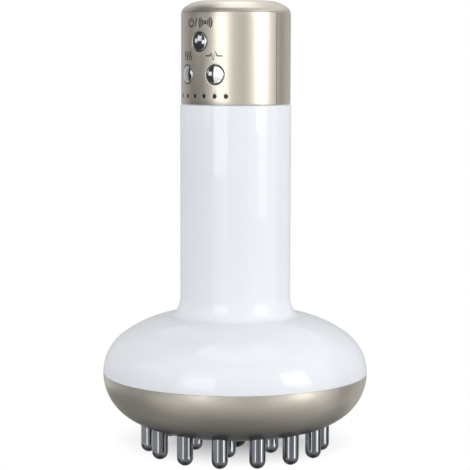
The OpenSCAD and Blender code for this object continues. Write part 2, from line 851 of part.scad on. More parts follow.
// Cup for the battery between a floor and a deck, open to the front except at two bands
module battery_tray(spine_r) {
    floor_foot = shelf_z + foot_t;
    floor_top = floor_foot + tray_plate_t;
    band_h = 10;
    band_z = [battery_z + band_h, battery_top_z - 2 * band_h];
    windows = [
        [floor_top, band_z[0]], [band_z[0] + band_h, band_z[1]],
        [band_z[1] + band_h, battery_top_z - 0.3]
    ];
    difference() {
        rotate_extrude() {
            translate([0, floor_foot]) square([spine_r, tray_plate_t]);
            translate([tray_r, floor_foot]) square([tray_t, deck_top_z - floor_foot]);
            translate([0, deck_z]) square([spine_r, foot_t]);
        }
        ring_sector(tray_r - 1, spine_r + 1, floor_top, battery_top_z - 0.3, 0, 56);
        for (window = windows)
            ring_sector(tray_r - 0.5, spine_r + 0.5, window[0], window[1], 0, 82);
        translate([-far / 2, -far - back_plate_y - 0.8, battery_top_z - 0.6]) cube([far, far, far]);
    }
}

// Tray for the battery, with fins that slide down the handle and a plate for the boards
module inner_frame() {
    spine_r = tray_r + tray_t;
    boss_len = board_front - board_t - back_plate_y;
    charge_boss_z = charge_board_z - charge_boss_h;
    color(dark_plastic) difference() {
        union() {
            difference() {
                ring(shelf_r, rail_r, shelf_z, shelf_z + foot_t);
                ring_sector(shelf_r - 1, rail_r + 1, shelf_z - 1, shelf_z + foot_t + 1, 0, notch_half);
            }
            battery_tray(spine_r);
            for (side = [0, 180])
                rotate([0, 0, side]) translate([spine_r - 1, -fin_t / 2, shelf_z])
                    cube([rail_r - spine_r + 0.8, fin_t, deck_top_z - shelf_z]);
            translate([-board_half_w, -back_plate_y, deck_z])
                cube([2 * board_half_w, back_plate_t, back_plate_top - deck_z]);
            for (x = [-board_screw_x, board_screw_x]) for (z = board_screw_z)
                translate([x, -board_front + board_t, z]) rotate([-90, 0, 0])
                    cylinder(r = frame_boss_r, h = boss_len + back_plate_t / 2);
            translate([-charge_board_half_w, -back_plate_y, charge_boss_z - charge_shelf_t])
                cube([2 * charge_board_half_w, back_plate_y + charge_shelf_y, charge_shelf_t]);
            for (side = [-1, 1])
                translate([side * (charge_board_half_w - rib_t / 2) - rib_t / 2, -back_plate_y, deck_z])
                    cube([rib_t, back_plate_y + rib_y, charge_boss_z - deck_z - 0.1]);
            for (side = [-1, 1])
                translate([side * charge_screw_x, charge_screw_y, charge_boss_z - 0.5])
                    cylinder(r = frame_boss_r, h = charge_boss_h + 0.5);
        }
        for (x = [-board_screw_x, board_screw_x]) for (z = board_screw_z)
            translate([x, -board_front, z]) rotate([-90, 0, 0])
                cylinder(r = small_screw_r + thread_gap, h = board_front);
        for (side = [-1, 1])
            translate([side * charge_screw_x, charge_screw_y, charge_board_z - board_screw_len])
                cylinder(r = small_screw_r + thread_gap, h = board_screw_len + 1);
        around(4, frame_screw_ring_r, 45) translate([0, 0, shelf_z - 1])
            cylinder(r = small_screw_r + clear_gap, h = foot_t + 2);
    }
}

module frame_screws() {
    color("silver") around(4, frame_screw_ring_r, 45) translate([0, 0, shelf_z + foot_t])
        screw(small_head_r, small_head_h, small_screw_r, foot_t + shelf_t + 1);
}

module battery_cell() {
    color("mediumseagreen") rotate_extrude() difference() {
        translate([0, battery_z]) square([battery_r, battery_len]);
        translate([battery_r, battery_top_z - 2.6]) circle(0.5);
        translate([battery_r - 0.6, battery_top_z - 0.6]) square([1, 1]);
    }
}

// Foam strip between the cell and the tray
module battery_pad() {
    color("slategray")
        ring_sector(battery_r + 0.02, tray_r - 0.02, battery_z + 6, battery_top_z - 6, 180, 20);
}

module battery_tabs() {
    color("lightgray") {
        translate([-tab_w / 2, -tab_reach, battery_z - tab_t]) cube([tab_w, tab_reach + tab_tail, tab_t]);
        translate([-tab_w / 2, tab_step - tab_reach, battery_top_z])
            cube([tab_w, tab_reach - tab_step + tab_tail, tab_t]);
    }
}

// Points of a lead that climbs the front of the handle and ends on the control board's back
function riser(x, foot) = concat(foot, [
    [x, -lead_y, battery_z + 14], [x, -lead_y, (battery_z + battery_top_z) / 2],
    [x, -lead_y, battery_top_z - 8],
    [x, -lead_y + 0.5, battery_top_z - 1], [x, -lead_y + 2.6, battery_top_z + 1.7],
    [x, -lead_end_y - 0.7, battery_top_z + 2.9], [x, -lead_end_y, battery_top_z + 4.6],
    [x, -lead_end_y, lead_end_z]
]);

module battery_leads() {
    x = battery_lead_x;
    color("firebrick") {
        lead(riser(-x, [[-x, -10.2, battery_z + 0.15], [-x, -10.9, battery_z + 4]]), lead_r);
        lead([[x, -lead_end_y + 0.2, deck_z + 0.1], [x, -lead_end_y, deck_z + 4],
            [x, -lead_end_y, lead_end_z]], lead_r);
    }
}

module motor_leads() {
    foot_z = motor_z + motor_h + endcap_h / 2 + 1;
    color("goldenrod") for (side = [-1, 1])
        lead(riser(side * motor_lead_x, [[side * terminal_x, -0.35, foot_z],
            [side * terminal_x, -6, foot_z + 1.2],
            [side * motor_lead_x, -lead_y + 0.8, foot_z + 4.4]]), lead_r);
}

module head_leads() {
    foot_r = motor_r + damper_t + sleeve_t + 2.4;
    color("midnightblue") for (x = [-head_lead_x, head_lead_x])
        lead(riser(x, [[x, -foot_r, carrier_top_z + 0.1], [x, -foot_r, carrier_top_z + 12],
            [x, -foot_r + 0.6, motor_z + 8], [x, -lead_y + 0.4, shelf_z - 8]]), lead_r);
}

module control_board() {
    color(board_green) difference() {
        translate([-board_half_w, -board_front, board_foot_z])
            cube([2 * board_half_w, board_t, board_top_z - board_foot_z]);
        for (x = [-board_screw_x, board_screw_x]) for (z = board_screw_z)
            translate([x, -board_front - 1, z]) rotate([-90, 0, 0])
                cylinder(r = small_screw_r + clear_gap, h = board_t + 2);
    }
}

module board_screws() {
    color("silver") {
        for (x = [-board_screw_x, board_screw_x]) for (z = board_screw_z)
            translate([x, -board_front - carrier_plate_t, z]) rotate([90, 0, 0])
                screw(small_head_r, small_head_h, small_screw_r, board_screw_len);
        for (side = [-1, 1]) translate([side * charge_screw_x, charge_screw_y, charge_board_z + board_t])
            screw(small_head_r, small_head_h, small_screw_r, board_screw_len);
    }
}

module controller_chip() {
    color(dark_plastic) translate([-chip_w / 2, -board_front + board_t, mode_z + 4])
        cube([chip_w, chip_t, chip_w]);
}

// Wound coil that raises the voltage of the pulse
module pulse_coil() {
    color(copper) translate([0, coil_y, charge_board_z + board_t]) rotate_extrude() {
        square([coil_flange_r, coil_flange_t]);
        square([coil_core_r, coil_h]);
        translate([0, coil_h - coil_flange_t]) square([coil_flange_r, coil_flange_t]);
    }
}

// Bracket on the control board that holds each switch square to its button
module switch_carrier() {
    seat_w = switch_w + 1.2;
    plate_h = board_screw_z[1] - board_screw_z[0] + 2 * frame_boss_r;
    color("white") difference() {
        union() {
            translate([0.5 - board_half_w, -board_front - carrier_plate_t, board_screw_z[0] - frame_boss_r])
                cube([2 * board_half_w - 1, carrier_plate_t, plate_h]);
            for (i = [0 : 2]) on_front(button_angles[i], button_heights[i])
                translate([-seat_w / 2, -seat_w / 2, board_front - 3])
                    cube([seat_w, seat_w, switch_foot - board_front + 3]);
        }
        translate([-far / 2, -board_front, 0]) cube([far, far, total_h]);
        for (x = [-board_screw_x, board_screw_x]) for (z = board_screw_z)
            translate([x, -board_front - 5, z]) rotate([-90, 0, 0])
                cylinder(r = small_screw_r + clear_gap, h = 10);
    }
}

module switch_bodies() {
    cavity_r = 2.2;
    cavity_h = 1.4;
    color(dark_plastic) for (i = [0 : 2]) on_front(button_angles[i], button_heights[i])
        difference() {
            translate([-switch_w / 2, -switch_w / 2, switch_foot]) cube([switch_w, switch_w, switch_h]);
            translate([0, 0, switch_top - cavity_h]) cylinder(r = cavity_r, h = cavity_h + 1);
        }
}

module switch_covers() {
    color("silver") for (i = [0 : 2]) on_front(button_angles[i], button_heights[i])
        difference() {
            translate([-switch_w / 2, -switch_w / 2, switch_top]) cube([switch_w, switch_w, cover_t]);
            translate([0, 0, switch_top - 1]) cylinder(r = stem_r + 0.2, h = cover_t + 2);
        }
}

// Moving stem of a push switch, with a foot that stays under the switch's cover
module plunger(index) {
    foot_h = 0.7;
    color("white") on_front(button_angles[index], button_heights[index]) {
        translate([0, 0, switch_top - 0.05 - foot_h]) cylinder(r = stem_r + 0.35, h = foot_h);
        translate([0, 0, switch_top - 0.1]) cylinder(r = stem_r, h = cover_t + plunger_lift + 0.1);
    }
}

module power_plunger() {
    plunger(0);
}

module heat_plunger() {
    plunger(1);
}

module pulse_plunger() {
    plunger(2);
}

// Domed chrome key with a rim that keeps it behind the panel
module button(index) {
    face_sphere_r = (button_r * button_r + button_crown * button_crown) / (2 * button_crown);
    stem_foot = switch_top + cover_t + plunger_lift;
    color("silver") on_front(button_angles[index], button_heights[index]) rotate_extrude() {
        intersection() {
            translate([0, button_top - face_sphere_r]) circle(face_sphere_r);
            translate([0, button_foot - flange_t / 2]) square([button_r, button_top]);
        }
        translate([0, button_foot - flange_t]) square([flange_r, flange_t]);
        translate([0, stem_foot]) square([stem_r, button_foot - stem_foot]);
    }
}

module power_button() {
    button(0);
}

module heat_button() {
    button(1);
}

module pulse_button() {
    button(2);
}

function pin_angle(i) = (i - (pin_count - 1) / 2) * pin_step;

// Clear bar behind the panel with one pin for each light
module light_guide() {
    bar_r = cap_inner_r - fit_gap;
    back_y = board_front + led_lift + fit_gap;
    half_w = bar_r * sin(pin_angle(pin_count - 1)) + 1.2;
    color("gray") {
        intersection() {
            translate([0, 0, pin_z - guide_half_h]) cylinder(r = bar_r, h = 2 * guide_half_h);
            translate([-half_w, -far, pin_z - guide_half_h])
                cube([2 * half_w, far - back_y, 2 * guide_half_h]);
        }
        for (i = [0 : pin_count - 1]) on_front(pin_angle(i), pin_z)
            translate([0, 0, bar_r - 1]) cylinder(r = pin_r, h = cap_r - 0.1 - bar_r + 1);
    }
}

module indicator_leds() {
    led_ring_r = board_front + 8;
    color("ivory") for (i = [0 : pin_count - 1])
        translate([led_ring_r * sin(pin_angle(i)), -board_front - led_lift / 2, pin_z])
            cube([led_w, led_lift, led_t], center = true);
}

module charge_board() {
    color(board_green) difference() {
        translate([-charge_board_half_w, charge_board_y[0], charge_board_z])
            cube([2 * charge_board_half_w, charge_board_y[1] - charge_board_y[0], board_t]);
        for (side = [-1, 1]) translate([side * charge_screw_x, charge_screw_y, charge_board_z - 1])
            cylinder(r = small_screw_r + clear_gap, h = board_t + 2);
    }
}

// Outline of the charging socket, with round ends
module socket_outline(grow) {
    end_r = socket_h / 2 + grow;
    half = (socket_w - socket_h) / 2;
    for (side = [-1, 1]) translate([side * half, 0]) circle(end_r);
    translate([-half, -end_r]) square([2 * half, 2 * end_r]);
}

// Lays an outline upright, facing +Y, with its front at y
module facing_back(y, depth) {
    translate([0, y, socket_z]) rotate([90, 0, 0]) linear_extrude(depth) children();
}

module charge_socket() {
    color("silver") difference() {
        facing_back(socket_mouth_y, socket_len) socket_outline(0);
        facing_back(socket_mouth_y + 1, socket_len - 0.4 + 1) socket_outline(-socket_wall);
    }
}

module charge_tongue() {
    color(dark_plastic) {
        facing_back(socket_mouth_y - socket_len + 1.6, 1.2) socket_outline(-socket_wall - 0.02);
        translate([-3.35, socket_mouth_y - socket_len + 1.5, socket_z - 0.35])
            cube([6.7, 4.6, 0.7]);
    }
}

// Gold cap: crown, back wall and the ledge behind the edges of the control panel
module cap_shell() {
    ledge_inner_r = ledge_r - ledge_t;
    ledge_foot = cap_z + spigot_step + 0.4;
    ledge_top = panel_top_z + 0.8;
    window_top = panel_top_z - 2.4;
    front_half = panel_half - 6;
    back_half = 176 - panel_half;
    cut_half = panel_half + panel_gap / cap_r * 180 / PI;
    color(paint_gold) difference() {
        rotate_extrude() difference() {
            cap_section(0);
            intersection() {
                cap_section(cap_t);
                translate([0, ledge_top]) square([cap_r, far]);
            }
            translate([0, cap_z - 1]) square([ledge_inner_r, ledge_top - cap_z + 1]);
            translate([0, cap_z - 1]) square([cap_inner_r + fit_gap, ledge_foot - cap_z + 1]);
        }
        ring_sector(ledge_inner_r - 1, cap_inner_r + 0.2, ledge_foot - 0.5, window_top, 0, front_half);
        ring_sector(ledge_inner_r - 1, cap_inner_r, ledge_foot - 0.5, window_top, 180, back_half);
        ring_sector(ledge_r, cap_r + 1, cap_z - 1, panel_top_z + panel_gap, 0, cut_half);
        facing_back(cap_r + 1, cap_t + 3) socket_outline(0.25);
    }
    color(paint_gold) for (middle = snap_angles)
        rotate([0, 0, middle]) translate([-snap_w / 2, -cap_inner_r - 0.3, snap_z])
            cube([snap_w, spigot_t - 0.1, snap_h]);
}

// Gold front half of the cap, held by hooks behind the ledge
module control_panel() {
    hook_r = ledge_r - ledge_t - 0.1;
    hook_t = 1;
    hook_h = 6;
    hook_rise = 9;
    hook_drop = 11.8;
    color(paint_gold) {
        difference() {
            ring_sector(cap_inner_r, cap_r, cap_z, panel_top_z, 0, panel_half);
            for (i = [0 : 2]) on_front(button_angles[i], button_heights[i])
                translate([0, 0, cap_inner_r - 3]) cylinder(r = button_r + button_gap, h = cap_t + 5);
            for (i = [0 : pin_count - 1]) on_front(pin_angle(i), pin_z)
                translate([0, 0, cap_inner_r - 2]) cylinder(r = pin_r + thread_gap, h = cap_t + 4);
        }
        for (side = [-1, 1]) for (z = [cap_z + hook_rise, panel_top_z - hook_drop]) {
            ring_sector(hook_r - hook_t, cap_inner_r + 0.3, z, z + hook_h, side * (panel_half - 9), 1.8);
            ring_sector(hook_r - hook_t, hook_r, z + 0.2, z + hook_h - 0.2, side * (panel_half - 6), 4);
        }
    }
}

upper_housing();
lower_bowl();
head_seal();
head_screws();
outer_teeth();
inner_teeth();
outer_contact_ring();
inner_contact_ring();
insulating_film();
heat_spreader();
heating_film();
thermal_cutout();
motor_carrier();
carrier_screws();
lamp_lens();
lamp_board();
lamp_led();
motor_can();
motor_magnets();
motor_endcap();
motor_terminals();
motor_shaft();
motor_armature();
eccentric_weight();
motor_damper();
inner_frame();
frame_screws();
battery_cell();
battery_pad();
battery_tabs();
battery_leads();
motor_leads();
head_leads();
control_board();
board_screws();
controller_chip();
pulse_coil();
switch_carrier();
switch_bodies();
switch_covers();
power_plunger();
heat_plunger();
pulse_plunger();
power_button();
heat_button();
pulse_button();
light_guide();
indicator_leds();
charge_board();
charge_socket();
charge_tongue();
cap_shell();
control_panel();
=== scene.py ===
# %% [markdown]
# # Electric massage brush
#
# This lesson dresses a imported CAD model of a massage brush: a white head and handle, a gold cap with
# three chrome keys, a gold bowl and twenty metal teeth. The CAD model already has the right sizes, so
# Blender adds what the eye looks for: soft edges, finishes, prints and studio light.
#
# The first cell loads the model as a fixed frame. Every new piece is placed by that frame and rides on
# one of its bodies. The sizes of pieces are written in millimetres, and MM makes metres of them. The
# studio is written in metres.

import json
from math import atan2, cos, hypot, pi, radians, sin, sqrt, tau

import bmesh
import bpy
from mathutils import Matrix, Vector


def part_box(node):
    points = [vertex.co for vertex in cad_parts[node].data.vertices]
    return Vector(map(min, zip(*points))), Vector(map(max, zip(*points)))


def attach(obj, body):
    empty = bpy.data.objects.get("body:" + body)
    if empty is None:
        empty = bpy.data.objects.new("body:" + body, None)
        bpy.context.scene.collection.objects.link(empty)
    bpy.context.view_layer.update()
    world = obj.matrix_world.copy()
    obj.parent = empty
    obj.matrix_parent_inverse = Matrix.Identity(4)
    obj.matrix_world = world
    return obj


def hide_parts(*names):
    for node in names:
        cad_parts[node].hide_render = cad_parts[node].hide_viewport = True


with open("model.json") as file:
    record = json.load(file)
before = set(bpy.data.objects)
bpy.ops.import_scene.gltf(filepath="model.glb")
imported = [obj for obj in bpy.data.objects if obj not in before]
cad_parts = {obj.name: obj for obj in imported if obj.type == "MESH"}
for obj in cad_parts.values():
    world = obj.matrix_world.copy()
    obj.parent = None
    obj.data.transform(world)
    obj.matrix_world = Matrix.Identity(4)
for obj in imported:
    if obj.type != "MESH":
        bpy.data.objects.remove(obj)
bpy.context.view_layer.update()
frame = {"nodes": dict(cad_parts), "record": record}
nodes = frame["nodes"]
MM = 0.001

# %% [markdown]
# ## The camera
#
# The photograph looks at the brush from a little above the middle, 41 degrees round from the keys.
# Setting the camera first fixes the view that everything else is judged by. A short lens close by could
# frame the brush too, but the handle would seem to taper. A long lens from over half a metre keeps its
# sides nearly parallel, as they are in the photograph.

# %% Camera
VIEW_TURN = 41.25
CAMERA_REACH = 0.646
CAMERA_HEIGHT = 0.1507
CAMERA_TILT, CAMERA_ROLL, CAMERA_PAN = 6.05, -0.155, 0.03
LENS_LENGTH = 131.6


def toward(turn_angle, reach, height):
    """Point at a height, a turn in degrees to the right of the camera's side of the brush."""
    angle = radians(VIEW_TURN + turn_angle)
    return Vector((reach * sin(angle), -reach * cos(angle), height))


lens = bpy.data.cameras.new("camera")
lens.lens = LENS_LENGTH
camera = bpy.data.objects.new("camera", lens)
camera.location = toward(0, CAMERA_REACH, CAMERA_HEIGHT)
camera.rotation_euler = (radians(90 - CAMERA_TILT), radians(CAMERA_ROLL), radians(VIEW_TURN + CAMERA_PAN))
bpy.context.scene.collection.objects.link(camera)
bpy.context.scene.camera = camera
print("camera at", [round(c, 3) for c in camera.location])

# %% [markdown]
# ## Drawing an outline
#
# The housing and the keys are round, so each starts as half of its outline, drawn in the plane of X
# and Z. A typed list of points could do it, but its curves would be guesswork. Here an outline grows
# from one vertex: a line copies the vertex to a new place, and an arc spins it about a centre. So every
# round stretch is a true arc of a known radius.

# %% Helpers that draw an outline
def begin(bm, r, z):
    """First vertex of an outline, in millimetres from the axis and from the floor."""
    return bm.verts.new((r * MM, 0, z * MM))


def line_to(bm, tip, r, z):
    """Straight stretch of the outline."""
    tip = bmesh.ops.extrude_vert_indiv(bm, verts=[tip])["verts"][0]
    tip.co = (r * MM, 0, z * MM)
    return tip


def arc_to(bm, tip, centre, end, steps):
    """Round stretch about a centre, the short way to the direction of end."""
    start_angle = atan2(tip.co.z / MM - centre[1], tip.co.x / MM - centre[0])
    end_angle = atan2(end[1] - centre[1], end[0] - centre[0])
    sweep = (end_angle - start_angle + pi) % tau - pi
    spun = bmesh.ops.spin(bm, geom=[tip], cent=(centre[0] * MM, 0, centre[1] * MM),
                          axis=(0, -1, 0), angle=sweep, steps=steps)
    return [v for v in spun["geom_last"] if isinstance(v, bmesh.types.BMVert)][0]


def along(start, end, length):
    """Point at a length from start towards end, in the plane of an outline."""
    reach = hypot(end[0] - start[0], end[1] - start[1])
    return tuple(s + (e - s) * length / reach for s, e in zip(start, end))


print("two fifths of the way from 0, 0 to 3, 4:", along((0, 0), (3, 4), 2))

# %% [markdown]
# ## Turning it
#
# Spinning an outline once about Z makes the solid, as a lathe would. The spin merges its own seam, but
# an end that lies on the axis becomes many vertices in one place, so these poles are merged as well. A
# spin can also turn a shape inside out, and so its normals are worked out again at the end.

# %% Helper that turns an outline
MERGE_GAP = 0.004 * MM


def turn(bm, steps):
    """Spins the outline once about Z and closes the seam and the poles."""
    bmesh.ops.spin(bm, geom=bm.verts[:] + bm.edges[:], cent=(0, 0, 0), axis=(0, 0, 1),
                   angle=tau, steps=steps, use_merge=True)
    bmesh.ops.remove_doubles(bm, verts=bm.verts[:], dist=MERGE_GAP)
    bmesh.ops.dissolve_degenerate(bm, edges=bm.edges[:], dist=MERGE_GAP)
    bmesh.ops.recalc_face_normals(bm, faces=bm.faces[:])


print("vertices are merged within mm:", MERGE_GAP / MM)

# %% [markdown]
# ## Handing a piece over
#
# A finished mesh needs an object, a body to ride on and the name of its finish, and a piece that stands
# for a CAD node has to say so. Smooth shading hides the facets of a turned piece, but it would smear
# real corners too. Marking the edges over a set angle as sharp keeps the corners crisp.

# %% Helper that finishes a piece
SHARP_ANGLE = radians(32)
pieces = []


def finish_piece(bm, name, body, slot, replaced=()):
    """Makes the object, smooths it but for its sharp edges, and puts it on its body."""
    mesh = bpy.data.meshes.new(name)
    bm.to_mesh(mesh)
    bm.free()
    mesh.shade_smooth()
    mesh.set_sharp_from_angle(angle=SHARP_ANGLE)
    piece = bpy.data.objects.new(name, mesh)
    bpy.context.scene.collection.objects.link(piece)
    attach(piece, body)
    if replaced:
        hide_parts(*replaced)
    pieces.append((piece, slot))
    print(name, "faces:", len(mesh.polygons))


print("edges are sharp over radians:", round(SHARP_ANGLE, 3))

# %% [markdown]
# ## White housing
#
# The dome, the neck and the handle are one glossy moulding. Its outside is a chain of arcs: a tight
# side, a flat crown and a hollow curve into the handle. Each centre follows from the arcs beside it. The
# side and the crown touch, so their centres lie on one line through the place where they meet, and the
# hollow curve stands on the crown where the neck is widest.

# %% Sizes of the housing
head_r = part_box("lower_bowl")[1].x / MM
cap_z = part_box("cap_shell")[0].z / MM
spigot_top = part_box("upper_housing")[1].z / MM
SEAM_Z, DOME_RISE = 30.2, 22.5
SIDE_R, CROWN_R = 17.4, 43.4
HANDLE_R, NECK_FLARE, NECK_HOLLOW_R = 20.8, 2.4, 12

side_centre = (head_r - SIDE_R, SEAM_Z)
crown_drop = CROWN_R - DOME_RISE
crown_centre = (side_centre[0] - sqrt((CROWN_R - SIDE_R) ** 2 - crown_drop ** 2), SEAM_Z - crown_drop)
neck_foot = crown_centre[1] + sqrt(CROWN_R ** 2 - (HANDLE_R + NECK_FLARE - crown_centre[0]) ** 2)
neck_centre = (HANDLE_R + NECK_HOLLOW_R,
               neck_foot + sqrt(NECK_HOLLOW_R ** 2 - (NECK_HOLLOW_R - NECK_FLARE) ** 2))
for part, centre in (("side", side_centre), ("crown", crown_centre), ("neck", neck_centre)):
    print("centre of the", part, [round(c, 3) for c in centre])

# %% [markdown]
# On the real part the crown and the neck meet in a small soft valley, which catches a thin line of
# light, so that valley gets its own arc here. The lower edge is rounded too, which leaves the fine dark
# line at the seam. Under the cap the outside stops a little short, and that narrow groove is the dark
# line between white and gold.

# %% Outside of the housing
VALLEY_R, EDGE_R = 3.2, 0.22
GROOVE_HIGH, GROOVE_R = 0.38, 19.8
EDGE_STEPS, VALLEY_STEPS, NECK_STEPS, OUTER_STEPS = 4, 10, 24, 40
HANDLE_RINGS = 6


def valley_centre():
    """Centre of the small arc that touches the crown from outside and the neck's hollow from inside."""
    gap = Vector(neck_centre) - Vector(crown_centre)
    far, near = CROWN_R + VALLEY_R, NECK_HOLLOW_R - VALLEY_R
    lengthwise = (far ** 2 - near ** 2 + gap.length ** 2) / (2 * gap.length)
    sideways = sqrt(far ** 2 - lengthwise ** 2)
    forward = gap.normalized()
    across = Vector((-forward.y, forward.x))
    return tuple(Vector(crown_centre) + forward * lengthwise + across * sideways)


def outside_of_housing(bm):
    """Outline from the seam up to the groove under the cap."""
    valley = valley_centre()
    groove_z = cap_z - GROOVE_HIGH
    straight = groove_z - EDGE_R - neck_centre[1]
    tip = begin(bm, head_r - EDGE_R, SEAM_Z)
    tip = arc_to(bm, tip, (head_r - EDGE_R, SEAM_Z + EDGE_R), (head_r, SEAM_Z + EDGE_R), EDGE_STEPS)
    tip = arc_to(bm, tip, side_centre, along(crown_centre, side_centre, CROWN_R), OUTER_STEPS)
    tip = arc_to(bm, tip, crown_centre, valley, OUTER_STEPS)
    tip = arc_to(bm, tip, valley, along(neck_centre, valley, NECK_HOLLOW_R), VALLEY_STEPS)
    tip = arc_to(bm, tip, neck_centre, (HANDLE_R, neck_centre[1]), NECK_STEPS)
    for ring in range(1, HANDLE_RINGS + 1):
        tip = line_to(bm, tip, HANDLE_R, neck_centre[1] + straight * ring / HANDLE_RINGS)
    tip = arc_to(bm, tip, (HANDLE_R - EDGE_R, groove_z - EDGE_R), (HANDLE_R - EDGE_R, groove_z), EDGE_STEPS)
    return line_to(bm, tip, GROOVE_R, groove_z)


bm = bmesh.new()
tip = outside_of_housing(bm)
print("points on the outside:", len(bm.verts), "valley at", [round(c, 2) for c in valley_centre()])

# %% [markdown]
# The same outline now goes back down the inside, so that the housing is a real wall of 2 mm and not a
# painted skin. On its way it draws the foot of the spigot that holds the cap, and the shelf that the
# inner frame stands on. Solidify could make an even wall, but not these steps. One turn then gives the
# whole shell.

# %% Inside of the housing
WALL = 2
SHELF_TOP, SHELF_FOOT, SHELF_HOLE_R = 60, 57.6, 12.8
SPIGOT_OUTER, SPIGOT_INNER, SPIGOT_FOOT, SPIGOT_STUB = 18.5, 16.9, 129, 133.2
INNER_STEPS, HOUSING_STEPS = 30, 160


def inside_of_housing(bm, tip):
    """Outline from the groove over the spigot's foot, the shelf and the dome, back to the seam."""
    inner_r = HANDLE_R - WALL
    for r, z in ((GROOVE_R, cap_z), (SPIGOT_OUTER, cap_z), (SPIGOT_OUTER, SPIGOT_STUB),
                 (SPIGOT_INNER, SPIGOT_STUB), (SPIGOT_INNER, SPIGOT_FOOT), (inner_r, SPIGOT_FOOT),
                 (inner_r, SHELF_TOP), (SHELF_HOLE_R, SHELF_TOP), (SHELF_HOLE_R, SHELF_FOOT),
                 (inner_r, SHELF_FOOT)):
        tip = line_to(bm, tip, r, z)
    rise = sqrt((CROWN_R - WALL) ** 2 - (inner_r - crown_centre[0]) ** 2)
    tip = line_to(bm, tip, inner_r, crown_centre[1] + rise)
    tip = arc_to(bm, tip, crown_centre, side_centre, INNER_STEPS)
    tip = arc_to(bm, tip, side_centre, (head_r, SEAM_Z), INNER_STEPS)
    line_to(bm, tip, head_r - EDGE_R, SEAM_Z)


inside_of_housing(bm, tip)
turn(bm, HOUSING_STEPS)
print("turned housing faces:", len(bm.faces), "open edges:", sum(e.is_boundary for e in bm.edges))

# %% [markdown]
# Five tubes inside the dome take the screws of the bowl. Cutting their pilot holes out of the finished
# wall would need a Boolean, which often leaves bad faces. Each tube is therefore turned from its own
# small outline, moved to its place on a ring, and added to the wall's mesh.

# %% Screw posts in the dome
POST_RING_R, FIRST_POST_TURN, POST_COUNT = 24.15, 67.7, 5
POST_R, PILOT_R, POST_FOOT, POST_TOP, PILOT_TOP = 3.2, 1.45, 22, 48.4, 32
POST_STEPS = 32


def add_mesh(bm, part):
    """Moves the geometry of part into bm."""
    carrier = bpy.data.meshes.new("carrier")
    part.to_mesh(carrier)
    part.free()
    bm.from_mesh(carrier)
    bpy.data.meshes.remove(carrier)


def add_post(bm, turn_angle):
    """Tube that the head's screw cuts its thread in."""
    post = bmesh.new()
    tip = begin(post, 0, PILOT_TOP)
    for r, z in ((PILOT_R, PILOT_TOP), (PILOT_R, POST_FOOT), (POST_R, POST_FOOT), (POST_R, POST_TOP),
                 (0, POST_TOP)):
        tip = line_to(post, tip, r, z)
    turn(post, POST_STEPS)
    place = Matrix.Rotation(radians(turn_angle), 4, "Z") @ Matrix.Translation((0, -POST_RING_R * MM, 0))
    bmesh.ops.transform(post, matrix=place, verts=post.verts[:])
    add_mesh(bm, post)


for i in range(POST_COUNT):
    add_post(bm, FIRST_POST_TURN + 360 / POST_COUNT * i)
print("faces with the posts:", len(bm.faces))

# %% [markdown]
# The cap is pushed over a spigot on top of the handle. Its lower part is a full ring and was turned with
# the wall. Its upper part is only two short arcs, which leave room for the panel in front and for the
# charging socket behind. A rectangle spun through part of a circle makes such an arc in one step.

# %% Spigot arcs
SPIGOT_TURNS = ((102, 158), (202, 258))
SPIGOT_SINK = 0.3
ARC_STEPS = 24


def add_arc_wall(bm, inner, outer, low, high, start, end):
    """Part of a ring between two turns, counted from -Y."""
    part = bmesh.new()
    corners = [part.verts.new((r * MM, 0, z * MM))
               for r, z in ((inner, low), (outer, low), (outer, high), (inner, high))]
    face = part.faces.new(corners)
    bmesh.ops.rotate(part, verts=part.verts[:], cent=(0, 0, 0),
                     matrix=Matrix.Rotation(radians(start - 90), 3, "Z"))
    bmesh.ops.spin(part, geom=[face] + list(face.edges) + list(face.verts), cent=(0, 0, 0),
                   axis=(0, 0, 1), angle=radians(end - start), steps=ARC_STEPS)
    bmesh.ops.remove_doubles(part, verts=part.verts[:], dist=MERGE_GAP)
    bmesh.ops.recalc_face_normals(part, faces=part.faces[:])
    add_mesh(bm, part)


for start, end in SPIGOT_TURNS:
    add_arc_wall(bm, SPIGOT_INNER, SPIGOT_OUTER, SPIGOT_STUB - SPIGOT_SINK, spigot_top, start, end)
finish_piece(bm, "white_housing", "brush", "white_gloss_shell", ["upper_housing"])

# %% [markdown]
# ## Chrome keys
#
# Each key is a shallow polished dome with a rolled edge, on a wall that slides in the panel's hole and
# a rim that stops it from falling out. Half of its outline is drawn, with Z as the way the key faces.
# The rolled edge is a small arc that touches the dome and the wall, because a sharp edge would lose the
# thin bright ring that chrome keys always show.

# %% Outline of a key
KEY_FACE_R, KEY_DOME_R, KEY_ROLL, KEY_DEPTH = 3.36, 12, 0.45, 2.8
KEY_RIM_R, KEY_RIM_T, KEY_STEM_R = 4.4, 0.9, 1.65
DOME_STEPS, ROLL_STEPS = 20, 8
power_low, power_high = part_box("power_button")
key_top, key_stem_foot = -power_low.y / MM, -power_high.y / MM


def key_outline(bm):
    """Half outline of a key, from the top of its dome to the end of its stem."""
    dome_centre = (0, key_top - KEY_DOME_R)
    roll_r = KEY_FACE_R - KEY_ROLL
    roll_centre = (roll_r, dome_centre[1] + sqrt((KEY_DOME_R - KEY_ROLL) ** 2 - roll_r ** 2))
    wall_foot = key_top - KEY_DEPTH
    tip = begin(bm, 0, key_top)
    tip = arc_to(bm, tip, dome_centre, roll_centre, DOME_STEPS)
    tip = arc_to(bm, tip, roll_centre, (KEY_FACE_R, roll_centre[1]), ROLL_STEPS)
    for r, z in ((KEY_FACE_R, wall_foot), (KEY_RIM_R, wall_foot), (KEY_RIM_R, wall_foot - KEY_RIM_T),
                 (KEY_STEM_R, wall_foot - KEY_RIM_T), (KEY_STEM_R, key_stem_foot), (0, key_stem_foot)):
        tip = line_to(bm, tip, r, z)


